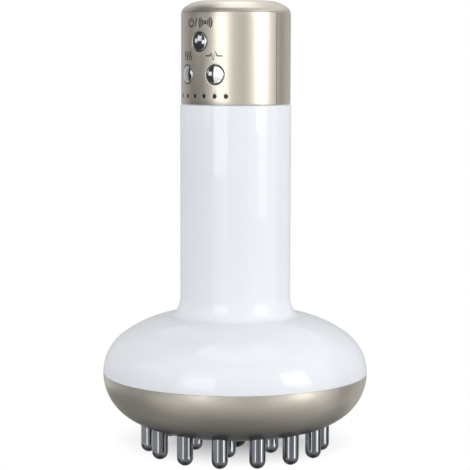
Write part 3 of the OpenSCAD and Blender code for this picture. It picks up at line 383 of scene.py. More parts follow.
print("key from the axis, top and end of the stem in mm:", round(key_top, 2), round(key_stem_foot, 2))

# %% [markdown]
# The three keys are alike, so the outline is drawn and turned once for each of them, and a matrix lays
# the solid on the cap. The matrix tips Z over to the front, lifts the key to its height and swings it
# round the handle's axis. It goes into the mesh and not into the object, which stays at the origin, so
# that patterns and joints find the key where it is.

# %% Keys on the cap
KEY_SIDE_TURN = 19.2
KEY_TURNS = {"power": 0, "heat": -KEY_SIDE_TURN, "pulse": KEY_SIDE_TURN}
KEY_STEPS = 96


def key_height(name):
    """Height of a key's middle over the floor in metres, from its CAD node."""
    low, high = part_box(name + "_button")
    return (low.z + high.z) / 2


def facing(turn_angle, height):
    """Matrix that lays +Z outwards at a turn from the middle of the panel and at a height."""
    return (Matrix.Rotation(radians(turn_angle), 4, "Z") @ Matrix.Translation((0, 0, height))
            @ Matrix.Rotation(radians(90), 4, "X"))


for key, key_turn in KEY_TURNS.items():
    bm = bmesh.new()
    key_outline(bm)
    turn(bm, KEY_STEPS)
    bmesh.ops.transform(bm, matrix=facing(key_turn, key_height(key)), verts=bm.verts[:])
    finish_piece(bm, key + "_key_cap", key + "_key", "chrome_keys", [key + "_button"])

# %% [markdown]
# ## Control panel
#
# The panel is the front half of the cap, a curved plate with three holes for the keys and six for the
# light pins. Holes are awkward to cut cleanly in a curved plate, so the plate is made flat first: its
# border and its holes are drawn as closed loops, filled between, and pushed through to its wall.

# %% Flat plate of the panel
panel_low, panel_high = (corner.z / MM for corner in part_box("control_panel"))
panel_r = -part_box("control_panel")[0].y / MM
PANEL_HALF, PANEL_WALL = 88, 1.8
KEY_HOLE_R, KEY_HOLE_SIDES = 3.64, 64
PIN_HOLE_R, PIN_HOLE_SIDES = 0.8, 24
PIN_HEIGHT, PIN_STEP, PIN_COUNT = 134.9, 12.5, 6


def arc_length(turn_angle):
    """Length along the panel's face, in millimetres from its middle."""
    return panel_r * radians(turn_angle)


def draw_hole(bm, turn_angle, z, radius, sides):
    """Closed ring of edges for a round hole in the flat plate."""
    place = Matrix.Translation((arc_length(turn_angle) * MM, 0, z * MM)) @ Matrix.Rotation(pi / 2, 4, "X")
    bmesh.ops.create_circle(bm, segments=sides, radius=radius * MM, matrix=place)


def draw_border(bm, half, low, high):
    """Closed rectangle of edges for the outline of the flat plate."""
    corners = [bm.verts.new((x * MM, 0, z * MM))
               for x, z in ((-half, low), (half, low), (half, high), (-half, high))]
    for i, corner in enumerate(corners):
        bm.edges.new((corner, corners[(i + 1) % 4]))


bm = bmesh.new()
draw_border(bm, arc_length(PANEL_HALF), panel_low, panel_high)
for key, key_turn in KEY_TURNS.items():
    draw_hole(bm, key_turn, key_height(key) / MM, KEY_HOLE_R, KEY_HOLE_SIDES)
for i in range(PIN_COUNT):
    draw_hole(bm, (i - (PIN_COUNT - 1) / 2) * PIN_STEP, PIN_HEIGHT, PIN_HOLE_R, PIN_HOLE_SIDES)
bmesh.ops.triangle_fill(bm, use_beauty=True, edges=bm.edges[:], normal=(0, -1, 0))
pushed = bmesh.ops.extrude_face_region(bm, geom=bm.faces[:])
bmesh.ops.translate(bm, vec=(0, PANEL_WALL * MM, 0),
                    verts=[v for v in pushed["geom"] if isinstance(v, bmesh.types.BMVert)])
bmesh.ops.recalc_face_normals(bm, faces=bm.faces[:])
print("faces of the flat plate:", len(bm.faces))

# %% [markdown]
# No moulded edge is perfectly sharp. The front edges are rounded while the plate is still flat, where
# they are easy to pick out: a border edge lies on the rectangle, a pin hole's edge lies at the height of
# the pins, and what is left belongs to the keys. The key holes get the widest rounding, which catches a
# fine light line round each key.

# %% Rounded front edges of the panel
KEY_HOLE_ROUND, PIN_HOLE_ROUND, BORDER_ROUND = 0.27, 0.12, 0.14
CORNER_ANGLE = radians(60)
PIN_ZONE = 1.1 * PIN_HOLE_R
ROUND_SEGMENTS = 3


def on_border(edge):
    """True for an edge of the plate's outline."""
    half = arc_length(PANEL_HALF) * MM
    return all(abs(abs(v.co.x) - half) < MERGE_GAP or abs(v.co.z - panel_low * MM) < MERGE_GAP
               or abs(v.co.z - panel_high * MM) < MERGE_GAP for v in edge.verts)


def on_pin_hole(edge):
    """True for an edge of one of the light pins' holes."""
    return all(abs(v.co.z / MM - PIN_HEIGHT) < PIN_ZONE for v in edge.verts) and not on_border(edge)


def on_key_hole(edge):
    """True for an edge of one of the keys' holes."""
    return not on_pin_hole(edge) and not on_border(edge)


def round_front(bm, chosen, soft):
    """Rounds the chosen ones of the sharp edges round the front face."""
    edges = [e for e in bm.edges if all(abs(v.co.y) < MERGE_GAP for v in e.verts)
             and e.calc_face_angle(0) > CORNER_ANGLE and chosen(e)]
    bmesh.ops.bevel(bm, geom=edges, offset=soft * MM, segments=ROUND_SEGMENTS, affect="EDGES",
                    profile=0.5, material=-1, offset_type="OFFSET", clamp_overlap=True)
    print("rounded edges:", len(edges), "by mm:", soft)


round_front(bm, on_key_hole, KEY_HOLE_ROUND)
round_front(bm, on_pin_hole, PIN_HOLE_ROUND)
round_front(bm, on_border, BORDER_ROUND)

# %% [markdown]
# Now the flat plate is wrapped round the cap: the length along it becomes a turn, and its depth a smaller
# radius. Only vertices move, so a wide face would stay flat and cut through the curve. Narrow upright
# cuts give every face its own small turn before the plate is bent.

# %% Bend the plate round the cap
BEND_STEP = 1.5


def bend(bm, radius):
    """Wraps a flat piece round the cap: X becomes the turn, and Y the depth under the radius."""
    for v in bm.verts:
        angle = v.co.x / (radius * MM)
        depth_r = radius * MM - v.co.y
        v.co = (depth_r * sin(angle), -depth_r * cos(angle), v.co.z)


cuts = int(PANEL_HALF / BEND_STEP)
for i in range(-cuts, cuts + 1):
    bmesh.ops.bisect_plane(bm, geom=bm.verts[:] + bm.edges[:] + bm.faces[:], dist=MERGE_GAP,
                           plane_co=(arc_length(i * BEND_STEP) * MM, 0, 0), plane_no=(1, 0, 0))
bend(bm, panel_r)
print("open edges of the panel:", sum(not e.is_manifold for e in bm.edges))

# %% [markdown]
# Hooks behind the panel's straight edges snap under the ledge of the cap. Nobody sees them once the
# brush is shut, but the panel couldn't stay on without them. Each is a foot that reaches inwards and a
# thin tongue on it that points towards the edge, both made as short arcs.

# %% Hooks behind the panel
HOOK_INNER_R, HOOK_FOOT_R, HOOK_TONGUE_R = 16.1, 18.9, 17.1
HOOK_HIGH, HOOK_LEVELS = 6, (140.8, 153.8)
FOOT_TURN, FOOT_HALF = PANEL_HALF - 9, 1.8
TONGUE_TURN, TONGUE_HALF, TONGUE_STEP = PANEL_HALF - 6, 4, 0.2
for side in (-1, 1):
    for level in HOOK_LEVELS:
        add_arc_wall(bm, HOOK_INNER_R, HOOK_FOOT_R, level, level + HOOK_HIGH,
                     side * FOOT_TURN - FOOT_HALF, side * FOOT_TURN + FOOT_HALF)
        add_arc_wall(bm, HOOK_INNER_R, HOOK_TONGUE_R, level + TONGUE_STEP, level + HOOK_HIGH - TONGUE_STEP,
                     side * TONGUE_TURN - TONGUE_HALF, side * TONGUE_TURN + TONGUE_HALF)
finish_piece(bm, "gold_panel", "brush", "gold_paint", ["control_panel"])

# %% [markdown]
# ## Printed signs
#
# Short signs are printed over the keys. They are plain line signs of no maker: a power ring and a
# shaking dot, waves for warmth, and a beat for the pulse. Letters from a font could stand there, but
# such signs need no language. A sign is a few strokes, and most strokes are part of a ring or a wave, so
# two formulas give their points.

# %% Strokes of the signs
def ring_points(centre, radius, start, end, count=20):
    """Points of a round stroke, angles in degrees from the right."""
    angles = [radians(start + (end - start) * i / count) for i in range(count + 1)]
    return [(centre[0] + radius * cos(angle), centre[1] + radius * sin(angle)) for angle in angles]


def wave_points(centre, high, swing, count=20):
    """Points of an upright wavy stroke."""
    return [(centre[0] + swing * sin(tau * i / count), centre[1] + high * (i / count - 0.5))
            for i in range(count + 1)]


print("points of a quarter ring:", len(ring_points((0, 0), 1, 0, 90)))

# %% [markdown]
# The strokes are drawn on the flat panel, with X as the length along its face and Z as the height. Each
# sign is a function of its place, so that it can be moved as one thing until it sits over its key.

# %% Signs over the keys
HIGH_SIGNS_Z, LOW_SIGNS_Z = 161.7, 149.6
POWER_X, SLASH_X, SHAKE_X, HEAT_X, PULSE_X = -4.3, -1.6, 2.9, -6.4, 6.5


def power_sign(x, z):
    """Open ring with an upright bar in its gap."""
    return [ring_points((x, z), radius=1.45, start=130, end=410), [(x, z + 0.2), (x, z + 1.75)]]


def slash(x, z):
    """Leaning bar between two signs."""
    return [[(x - 0.5, z - 1.7), (x + 0.5, z + 1.7)]]


def shake_sign(x, z):
    """Dot between three pairs of round waves."""
    waves = [ring_points((x, z), radius, middle - 42, middle + 42, 10)
             for radius in (1.25, 2.05, 2.85) for middle in (0, 180)]
    return [ring_points((x, z), radius=0.45, start=0, end=360), *waves]


def heat_sign(x, z):
    """Four rising waves."""
    return [wave_points((x + step, z), high=3.1, swing=0.34) for step in (-2, -0.7, 0.6, 1.9)]


def pulse_sign(x, z):
    """Flat line with one beat in it."""
    beat = ((-3.3, 0), (-1.6, 0), (-1.0, 0.9), (-0.2, -1.5), (0.7, 1.6), (1.3, 0), (3.3, 0))
    return [[(x + sideways, z + rise) for sideways, rise in beat]]


strokes = [*power_sign(POWER_X, HIGH_SIGNS_Z), *slash(SLASH_X, HIGH_SIGNS_Z),
           *shake_sign(SHAKE_X, HIGH_SIGNS_Z), *heat_sign(HEAT_X, LOW_SIGNS_Z),
           *pulse_sign(PULSE_X, LOW_SIGNS_Z)]
print("strokes:", len(strokes))

# %% [markdown]
# A picture of the signs would blur close up, so the ink is real geometry. A curve with a round profile
# draws each stroke at an even width. Made a mesh and pressed almost flat, the strokes wrap round the
# panel with the same bend as the plate, and stand a hair proud of it, as thick ink does.

# %% Ink of the signs
INK_HALF_WIDTH = 0.29
INK_PRESS = 0.22
ink = bpy.data.curves.new("ink", "CURVE")
ink.dimensions = "3D"
ink.bevel_depth = INK_HALF_WIDTH * MM
ink.bevel_resolution = 2
ink.use_fill_caps = True
for stroke in strokes:
    spline = ink.splines.new("POLY")
    spline.points.add(len(stroke) - 1)
    for point, (x, z) in zip(spline.points, stroke):
        point.co = (x * MM, 0, z * MM, 1)
drawn = bpy.data.objects.new("drawn", ink)
bm = bmesh.new()
bm.from_mesh(drawn.to_mesh())
bpy.data.objects.remove(drawn)
bmesh.ops.remove_doubles(bm, verts=bm.verts[:], dist=MERGE_GAP)
bmesh.ops.scale(bm, vec=(1, INK_PRESS, 1), verts=bm.verts[:])
bend(bm, panel_r)
bmesh.ops.recalc_face_normals(bm, faces=bm.faces[:])
finish_piece(bm, "printed_signs", "brush", "dark_plastic")

# %% [markdown]
# ## Node trees
#
# A material is a tree of nodes. Building one by hand takes a line for each node, each value and each
# link, which hides the idea behind it. A few helpers make a node with its values in one call, link
# sockets in pairs, and stretch a value from one range to another. Every pattern reads Object
# coordinates, so it sticks to its piece and keeps its scale whichever way the piece is looked at.

# %% Helpers for node trees
def add_node(tree, kind, settings=None, **values):
    """New node with settings of the node and values of its unlinked inputs."""
    node = tree.nodes.new("ShaderNode" + kind)
    for name, value in (settings or {}).items():
        setattr(node, name, value)
    for name, value in values.items():
        node.inputs[name.replace("_", " ")].default_value = value
    return node


def chain(tree, *pairs):
    """Links pairs of an output socket and an input socket."""
    for output, entry in pairs:
        tree.links.new(output, entry)


def object_place(tree, stretch=(1, 1, 1), shift=(0, 0, 0)):
    """Socket with the place on the object, stretched along its axes and shifted."""
    place = add_node(tree, "TexCoord")
    mapping = add_node(tree, "Mapping", Scale=stretch, Location=shift)
    chain(tree, (place.outputs["Object"], mapping.inputs["Vector"]))
    return mapping.outputs["Vector"]


def noise(tree, place, scale, detail, roughness=0.5):
    """Noise texture at a place, whose scale comes from a socket."""
    node = add_node(tree, "TexNoise", Detail=detail, Roughness=roughness)
    chain(tree, (place, node.inputs["Vector"]), (scale, node.inputs["Scale"]))
    return node.outputs["Fac"]


def spread(tree, value, low, high, to_low=0.0, to_high=1.0):
    """Stretches a value from one range to another, held inside it."""
    node = add_node(tree, "MapRange", From_Min=low, From_Max=high, To_Min=to_low, To_Max=to_high)
    chain(tree, (value, node.inputs["Value"]))
    return node.outputs["Result"]


print("node helpers:", [made.__name__ for made in (add_node, chain, object_place, noise, spread)])

# %% [markdown]
# ## Groups that several materials share
#
# A moulded or painted surface is never one flat colour: its tone drifts a little, its gloss is uneven,
# and light picks out a fine grain. Copying those nodes into every material would work, but each change
# would have to be made many times. A node group is built once with named sockets and placed in each
# material with its own values. The groups put out only masks and heights that change over the surface.
# The shader itself stays in the material, where its plain numbers are set directly.

# %% Helpers for groups
groups = {}


def new_group(name, entries, exits):
    """Empty node group with value sockets, its inner input and its inner output."""
    tree = bpy.data.node_groups.new(name, "ShaderNodeTree")
    for entry, value in entries.items():
        socket = tree.interface.new_socket(name=entry, in_out="INPUT", socket_type="NodeSocketFloat")
        socket.default_value = value
    for exit_name in exits:
        tree.interface.new_socket(name=exit_name, in_out="OUTPUT", socket_type="NodeSocketFloat")
    groups[name] = tree
    print("group", name, "gives", exits)
    return tree, tree.nodes.new("NodeGroupInput"), tree.nodes.new("NodeGroupOutput")


def place_group(tree, name, **values):
    """Group node with its own values."""
    node = tree.nodes.new("ShaderNodeGroup")
    node.node_tree = groups[name]
    for entry, value in values.items():
        node.inputs[entry.replace("_", " ")].default_value = value
    return node


print("group helpers:", [made.__name__ for made in (new_group, place_group)])

# %% [markdown]
# ## Building a material
#
# Every material starts the same way: a Principled BSDF with its plain numbers set on its sockets, and
# one of the groups beside it. A mask from the group mixes two close colours, another moves the
# roughness between two values, and a Bump node turns the height into a faint relief. For most
# finishes it is only thousandths of a millimetre deep, as such textures really are.

# %% Helpers for materials
finishes = {}


def new_material(name, **plain):
    """Material with a Principled BSDF whose uniform numbers are set on its own sockets."""
    made = bpy.data.materials.new(name)
    made.use_nodes = True
    shader = made.node_tree.nodes["Principled BSDF"]
    for entry, value in plain.items():
        shader.inputs[entry.replace("_", " ")].default_value = value
    finishes[name] = made
    print("finish", name)
    return made.node_tree, shader


def blend_colours(tree, mask, first, second):
    """Colour socket that goes from first to second with a mask; either may be a socket."""
    mix = add_node(tree, "Mix", {"data_type": "RGBA"})
    mask_entry, first_entry, second_entry = mix.inputs[0], mix.inputs[6], mix.inputs[7]
    for entry, colour in ((first_entry, first), (second_entry, second)):
        if isinstance(colour, tuple):
            entry.default_value = (*colour, 1)
        else:
            chain(tree, (colour, entry))
    chain(tree, (mask, mask_entry))
    return mix.outputs[2]


def surface(tree, shader, colour, rough, height, depth):
    """Feeds the shader its colour, its roughness and a relief of a depth in millimetres."""
    bump = add_node(tree, "Bump", Strength=1.0, Distance=depth * MM)
    chain(tree, (colour, shader.inputs["Base Color"]), (rough, shader.inputs["Roughness"]),
          (height, bump.inputs["Height"]), (bump.outputs["Normal"], shader.inputs["Normal"]))


print("material helpers:", [made.__name__ for made in (new_material, blend_colours, surface)])

# %% [markdown]
# ## Moulded plastic
#
# The tone of moulded plastic drifts slowly over the part, hands and the mould leave faint smudges in
# its gloss, and its skin has a fine pebble. A picture could show all that, but it would need unwrapping
# and would blur close up. Three noises do it at any distance: a coarse one for the tone, a drawn-out one
# for the smudges and a very fine one for the height.

# %% Moulded plastic and rubber
def build_moulded_grain():
    """Slow drift of tone and gloss, with a fine pebbled height."""
    tree, entry, result = new_group("moulded_grain", {"Drift Scale": 40, "Grain Scale": 2500},
                                    ["Drift", "Smudge", "Height"])
    place, drawn_out = object_place(tree), object_place(tree, (1, 1, 0.35))
    drift = spread(tree, noise(tree, place, entry.outputs["Drift Scale"], detail=3), 0.35, 0.65)
    patches = noise(tree, drawn_out, entry.outputs["Drift Scale"], detail=5, roughness=0.65)
    grain = noise(tree, place, entry.outputs["Grain Scale"], detail=2)
    chain(tree, (drift, result.inputs["Drift"]), (grain, result.inputs["Height"]),
          (spread(tree, patches, 0.4, 0.75), result.inputs["Smudge"]))


def moulded(name, first, second, gloss, depth, drift_scale=40, grain_scale=2500, **plain):
    """Plastic or rubber: two close colours, a range of roughness and the depth of its grain."""
    tree, shader = new_material(name, **plain)
    grain = place_group(tree, "moulded_grain", Drift_Scale=drift_scale, Grain_Scale=grain_scale)
    colour = blend_colours(tree, grain.outputs["Drift"], first, second)
    rough = spread(tree, grain.outputs["Smudge"], 0, 1, *gloss)
    surface(tree, shader, colour, rough, grain.outputs["Height"], depth)


build_moulded_grain()

# %% [markdown]
# The shell leans a little to blue, and its gloss shows the lamps as crisp panes. Its relief is almost
# nothing, and its mirroring is a little under that of common plastic, as the photograph has it. The
# lens between the teeth is smoked, so only its gloss shows. The light pins are frosted and look dark
# while their lights are off. Dark plastic also stands for the printing ink. All colours here are
# written as light, not as screen values.

# %% White shell, lens, light pins and ink
moulded("white_gloss_shell", (0.775, 0.805, 0.85), (0.795, 0.825, 0.865), gloss=(0.015, 0.04),
        depth=0.0002, drift_scale=25, grain_scale=700, Specular_IOR_Level=0.36)
moulded("smoked_lens", (0.012, 0.008, 0.008), (0.02, 0.011, 0.010), gloss=(0.04, 0.07), depth=0.0003)
moulded("clear_guide", (0.018, 0.016, 0.014), (0.026, 0.024, 0.02), gloss=(0.3, 0.4), depth=0.0006,
        Specular_IOR_Level=0.3)
moulded("dark_plastic", (0.022, 0.021, 0.020), (0.032, 0.030, 0.028), gloss=(0.38, 0.5), depth=0.004)

# %% [markdown]
# ## Gold lacquer
#
# The bowl and the cap are sprayed with a pale lacquer that has metal flakes in it. Solid metal would
# turn dark wherever nothing bright is reflected, so the shader is a little less than metal and stays
# pale there, under a thin clear coat. The flakes are the cells of a Voronoi texture: each cell has a
# random colour, and its red part picks a tone between two golds.

# %% Gold lacquer
def build_lacquer_flakes():
    """Tiny flakes that each have their own tone, and a slow cloudiness."""
    tree, entry, result = new_group("lacquer_flakes", {"Flake Scale": 5000, "Cloud Scale": 60},
                                    ["Flake", "Cloud", "Height"])
    place = object_place(tree)
    cells = add_node(tree, "TexVoronoi")
    parts = add_node(tree, "SeparateColor")
    cloud = spread(tree, noise(tree, place, entry.outputs["Cloud Scale"], detail=4), 0.35, 0.65)
    ripple = noise(tree, place, entry.outputs["Flake Scale"], detail=1)
    chain(tree, (place, cells.inputs["Vector"]), (entry.outputs["Flake Scale"], cells.inputs["Scale"]),
          (cells.outputs["Color"], parts.inputs["Color"]), (parts.outputs["Red"], result.inputs["Flake"]),
          (cloud, result.inputs["Cloud"]), (ripple, result.inputs["Height"]))


def flaked(name, first, second, gloss, depth, metallic, **plain):
    """Metallic lacquer: flakes that sparkle, over a slow cloudiness."""
    tree, shader = new_material(name, Metallic=metallic, **plain)
    flakes = place_group(tree, "lacquer_flakes")
    colour = blend_colours(tree, flakes.outputs["Flake"], first, second)
    rough = spread(tree, flakes.outputs["Cloud"], 0, 1, *gloss)
    surface(tree, shader, colour, rough, flakes.outputs["Height"], depth)


build_lacquer_flakes()
flaked("gold_paint", (0.54, 0.50, 0.43), (0.60, 0.56, 0.485), gloss=(0.34, 0.38), depth=0.0006,
       metallic=0.85, Coat_Weight=0.3, Coat_Roughness=0.2)

# %% [markdown]
# ## Polished metal
#
# The teeth are turned and polished gunmetal, and the keys are chrome. Lathes and polishing wheels leave
# fine lines. A noise that is drawn out in X and Y but not in Z gives such lines, level round a tooth,
# and a second noise clouds the colour, as handling does. The lines also move the roughness, so that
# highlights break up along them.

# %% Polished metal
def build_metal_lines():
    """Fine lines across Z, as a lathe or a polishing wheel leaves them, and a haze."""
    tree, entry, result = new_group("metal_lines", {"Line Scale": 900, "Haze Scale": 120},
                                    ["Lines", "Haze"])
    place, drawn_out = object_place(tree), object_place(tree, (0.04, 0.04, 1))
    lines = noise(tree, drawn_out, entry.outputs["Line Scale"], detail=6, roughness=0.7)
    haze = spread(tree, noise(tree, place, entry.outputs["Haze Scale"], detail=4), 0.4, 0.7)
    chain(tree, (lines, result.inputs["Lines"]), (haze, result.inputs["Haze"]))


def worked_metal(name, first, second, gloss, depth, line_scale=900):
    """Metal with turning or brushing lines."""
    tree, shader = new_material(name, Metallic=1.0)
    lines = place_group(tree, "metal_lines", Line_Scale=line_scale)
    colour = blend_colours(tree, lines.outputs["Haze"], first, second)
    rough = spread(tree, lines.outputs["Lines"], 0.3, 0.7, *gloss)
    surface(tree, shader, colour, rough, lines.outputs["Lines"], depth)


build_metal_lines()
worked_metal("gunmetal_teeth", (0.165, 0.173, 0.186), (0.2, 0.21, 0.225), gloss=(0.06, 0.1),
             depth=0.0004, line_scale=1500)
worked_metal("chrome_keys", (0.70, 0.71, 0.74), (0.76, 0.77, 0.79), gloss=(0.07, 0.12), depth=0.0002,
             line_scale=700)

# %% [markdown]
# ## Coats that end, and painted shade
#
# On the panel and the keys the colour turns dark a little under the surface, which draws the dark ring
# round each key. In the panel's holes that is bare plastic where the paint doesn't reach, and painted
# shade too; on the keys it is painted shade.
# Modelling the coat as a skin of its own would be far too fine, so a mask ends it in the material. A
# mask needs something to measure: the distance from the handle's axis follows the curve of the cap, and
# the height over the floor suits the bowl.

# %% Measures that end a coat
def length_of(tree, place):
    """Distance of a place from the middle of its coordinates."""
    node = add_node(tree, "VectorMath", {"operation": "LENGTH"})
    chain(tree, (place, node.inputs[0]))
    return node.outputs["Value"]


def axis_distance(tree):
    """Distance from the handle's axis."""
    return length_of(tree, object_place(tree, (1, 1, 0)))


def height_over_floor(tree):
    """Height over the floor."""
    parts = add_node(tree, "SeparateXYZ")
    chain(tree, (object_place(tree), parts.inputs["Vector"]))
    return parts.outputs["Z"]


print("measures:", [made.__name__ for made in (axis_distance, height_over_floor)])

# %% [markdown]
# The coat that ends is a copy of the finish. Its mask fades the colour to a dark one, and the metal to
# none. On the bowl the colour darkens slowly towards the bottom, a painted shade under the head, while
# the panel and the keys have a crisp end.

# %% Coats that end
# Dark colours under the coats: painted shade on bowl and keys, bare plastic and painted shade on the panel.
PANEL_BARE_AND_SHADE, BOWL_PAINTED_SHADE, KEY_PAINTED_SHADE = (0.02, 0.02, 0.02), (0.05, 0.048, 0.045), (0.015, 0.015, 0.015)


def end_coat_with_shade(slot, name, bare, measure, low, high):
    """Copy of a finish, dark as painted shade where a measure is under low, coated over high, in mm."""
    ended = finishes[slot].copy()
    ended.name = name
    tree = ended.node_tree
    shader = tree.nodes["Principled BSDF"]
    coated = spread(tree, measure(tree), low * MM, high * MM)
    colour = shader.inputs["Base Color"].links[0].from_socket
    metal = spread(tree, coated, 0, 1, 0, shader.inputs["Metallic"].default_value)
    chain(tree, (blend_colours(tree, coated, bare, colour), shader.inputs["Base Color"]),
          (metal, shader.inputs["Metallic"]))
    return ended


# Keys turn black under the panel's face: painted shade in the gap round each key.
keys_shade_finish = end_coat_with_shade("chrome_keys", "keys_painted_shade", KEY_PAINTED_SHADE, axis_distance, 19.9, 20.1)
own_finish = {key + "_key_cap": keys_shade_finish for key in KEY_TURNS}
# Panel turns dark inside its holes: bare plastic, and painted shade in the gaps round the keys.
own_finish["gold_panel"] = end_coat_with_shade("gold_paint", "panel_gold_and_shade", PANEL_BARE_AND_SHADE, axis_distance, 20.2, 20.27)
# Bowl darkens towards the bottom: painted shade under the head.
own_finish["lower_bowl"] = end_coat_with_shade("gold_paint", "bowl_gold_painted_shade", BOWL_PAINTED_SHADE, height_over_floor, 13.4, 20.2)
print("pieces with a coat that ends:", list(own_finish))

# %% [markdown]
# ## Works inside
#
# Nobody sees the works while the brush is shut, yet each of them is a real thing with a real material,
# and it should look right when the model is opened. The same helpers make them, with other colours,
# another gloss and another depth of grain. The copper winding also has closer lines, like its wire.

# %% Plastics and metals inside
moulded("grey_plastic", (0.33, 0.34, 0.35), (0.38, 0.39, 0.4), (0.4, 0.55), 0.004)
moulded("white_plastic", (0.72, 0.72, 0.69), (0.78, 0.78, 0.75), (0.4, 0.5), 0.003)
moulded("rubber_seal", (0.05, 0.05, 0.052), (0.07, 0.07, 0.072), (0.62, 0.78), 0.01)
moulded("foam_pad", (0.14, 0.15, 0.17), (0.2, 0.21, 0.23), (0.85, 0.98), 0.12, 90, 1400)
moulded("film", (0.55, 0.42, 0.13), (0.62, 0.48, 0.17), (0.2, 0.3), 0.002)
moulded("led", (0.74, 0.72, 0.6), (0.8, 0.78, 0.68), (0.1, 0.2), 0.002)
moulded("red_led", (0.55, 0.06, 0.04), (0.62, 0.09, 0.06), (0.06, 0.14), 0.001)
moulded("battery_wrap", (0.03, 0.24, 0.16), (0.04, 0.29, 0.2), (0.18, 0.3), 0.002)
moulded("red_lead", (0.42, 0.02, 0.02), (0.5, 0.035, 0.03), (0.4, 0.55), 0.006)
moulded("yellow_lead", (0.62, 0.42, 0.03), (0.7, 0.5, 0.05), (0.4, 0.55), 0.006)
moulded("blue_lead", (0.02, 0.03, 0.2), (0.03, 0.045, 0.27), (0.4, 0.55), 0.006)
worked_metal("brass", (0.6, 0.44, 0.18), (0.68, 0.52, 0.24), (0.2, 0.36), 0.002)
worked_metal("aluminium_plate", (0.72, 0.73, 0.74), (0.8, 0.81, 0.82), (0.28, 0.42), 0.002)
worked_metal("steel", (0.5, 0.5, 0.51), (0.58, 0.58, 0.59), (0.2, 0.34), 0.002)
worked_metal("iron", (0.2, 0.2, 0.2), (0.27, 0.27, 0.27), (0.4, 0.6), 0.006)
worked_metal("copper_winding", (0.6, 0.27, 0.12), (0.7, 0.35, 0.18), (0.22, 0.36), 0.05, 5000)

# %% [markdown]
# Boards and the heating film carry printed copper tracks that end on bare metal pads. Drawing a real
# circuit would be wasted here, but its look is simple: square cells of a Voronoi texture give straight
# corners, folding their distance back and forth makes even lines of it, and the middles of a second
# set of cells are round pads, which alone are metal.

# %% Boards and heating film
PAD_PER_TRACK = 1.3
TRACK_DEPTH = 0.02


def build_track_lines():
    """Mask of straight tracks, and of round pads."""
    tree, entry, result = new_group("track_lines", {"Track Scale": 260, "Pad Scale": 330},
                                    ["Tracks", "Pads"])
    place = object_place(tree)
    cells = add_node(tree, "TexVoronoi", {"distance": "CHEBYCHEV"}, Randomness=0.85)
    dots = add_node(tree, "TexVoronoi", Randomness=0.6)
    folded = add_node(tree, "Math", {"operation": "PINGPONG"})
    folded.inputs[1].default_value = 0.12
    chain(tree, (place, cells.inputs["Vector"]), (entry.outputs["Track Scale"], cells.inputs["Scale"]),
          (place, dots.inputs["Vector"]), (entry.outputs["Pad Scale"], dots.inputs["Scale"]),
          (cells.outputs["Distance"], folded.inputs[0]),
          (spread(tree, folded.outputs[0], 0.05, 0.075), result.inputs["Tracks"]),
          (spread(tree, dots.outputs["Distance"], 0.24, 0.18), result.inputs["Pads"]))


def tracked(name, base, track, pad, gloss, scale):
    """Circuit board or film: base, covered tracks and bare metal pads."""
    tree, shader = new_material(name)
    marks = place_group(tree, "track_lines", Track_Scale=scale, Pad_Scale=scale * PAD_PER_TRACK)
    covered = blend_colours(tree, marks.outputs["Tracks"], base, track)
    colour = blend_colours(tree, marks.outputs["Pads"], covered, pad)
    rough = spread(tree, marks.outputs["Tracks"], 0, 1, *gloss)
    chain(tree, (marks.outputs["Pads"], shader.inputs["Metallic"]))
    surface(tree, shader, colour, rough, marks.outputs["Tracks"], TRACK_DEPTH)


build_track_lines()
tracked("heater_film", (0.6, 0.25, 0.05), (0.35, 0.13, 0.03), (0.7, 0.6, 0.45), (0.25, 0.4), 160)
tracked("board_green", (0.01, 0.09, 0.045), (0.015, 0.15, 0.075), (0.75, 0.62, 0.35), (0.22, 0.36), 420)

# %% [markdown]
# ## Dressing
#
# Every piece now gets the finish of its slot. The record says which slot each CAD node has, so a loop
# can dress them all: the visible ones, such as the bowl and the teeth, and the works inside the brush.
# The few pieces with a coat that ends take their own finish instead.

# %% Dress every node and piece
slot_of = {part["node"]: part["material_slot"] for part in frame["record"]["subparts"]}
for node_name, node in nodes.items():
    for holder in node.material_slots:
        holder.material = own_finish.get(node_name, finishes[slot_of[node_name]])
for piece, slot_name in pieces:
    piece.data.materials.append(own_finish.get(piece.name, finishes[slot_name]))
print("dressed nodes:", len(nodes), "new pieces:", len(pieces), "finishes:", len(finishes))

# %% [markdown]
# ## The studio
#
# A glossy round object shows its lamps more than it shows its own colour, so the lamps are placed by
# what the photograph reflects. One tall soft lamp on the left and two on the right, one over the other,
# make the upright bands on the handle, the cap and the side of the head. The lower one on the right is
# narrower and half as bright, because that band gets weaker towards the floor. An area lamp's power
# grows with its size, so a helper works it out from the brightness that its face should have.

# %% Lamps
LAMP_REACH = 0.65
# Turn from the camera's side, height of the middle, width, height and brightness of each lamp
LAMPS = {"left_lamp": (-30.5, 0.23, 0.325, 0.34, 2.5),
         "low_right_lamp": (57, 0.075, 0.23, 0.09, 2.0),
         "high_right_lamp": (53.5, 0.3025, 0.285, 0.365, 4.1)}


def add_lamp(name, place, width, height, brightness, down=False):
    """Soft lamp that faces the brush or the floor; the brightness of its face is 1 for white."""
    light = bpy.data.lights.new(name, "AREA")
    light.shape = "RECTANGLE"
    light.size, light.size_y = width, height
    light.energy = brightness * width * height * pi
    lamp = bpy.data.objects.new(name, light)
    inwards = Vector((-place.x, -place.y, 0)).to_track_quat("-Z", "Y").to_euler()
    lamp.rotation_euler = (0, 0, radians(VIEW_TURN)) if down else inwards
    lamp.location = place
    lamp.visible_camera = False
    bpy.context.scene.collection.objects.link(lamp)
    print(name, "watts:", round(light.energy, 2))
    return lamp


for name, (lamp_turn, middle, width, height, brightness) in LAMPS.items():
    add_lamp(name, toward(lamp_turn, LAMP_REACH, middle), width, height, brightness)

# %% [markdown]
# Those lamps alone would leave the far sides too dark. Four wider lamps fill them from all round, as
# the walls of a white room do. They are kept out of reflections, where they would draw more panes.

# %% Fill light
FILL_HEIGHT = 0.2
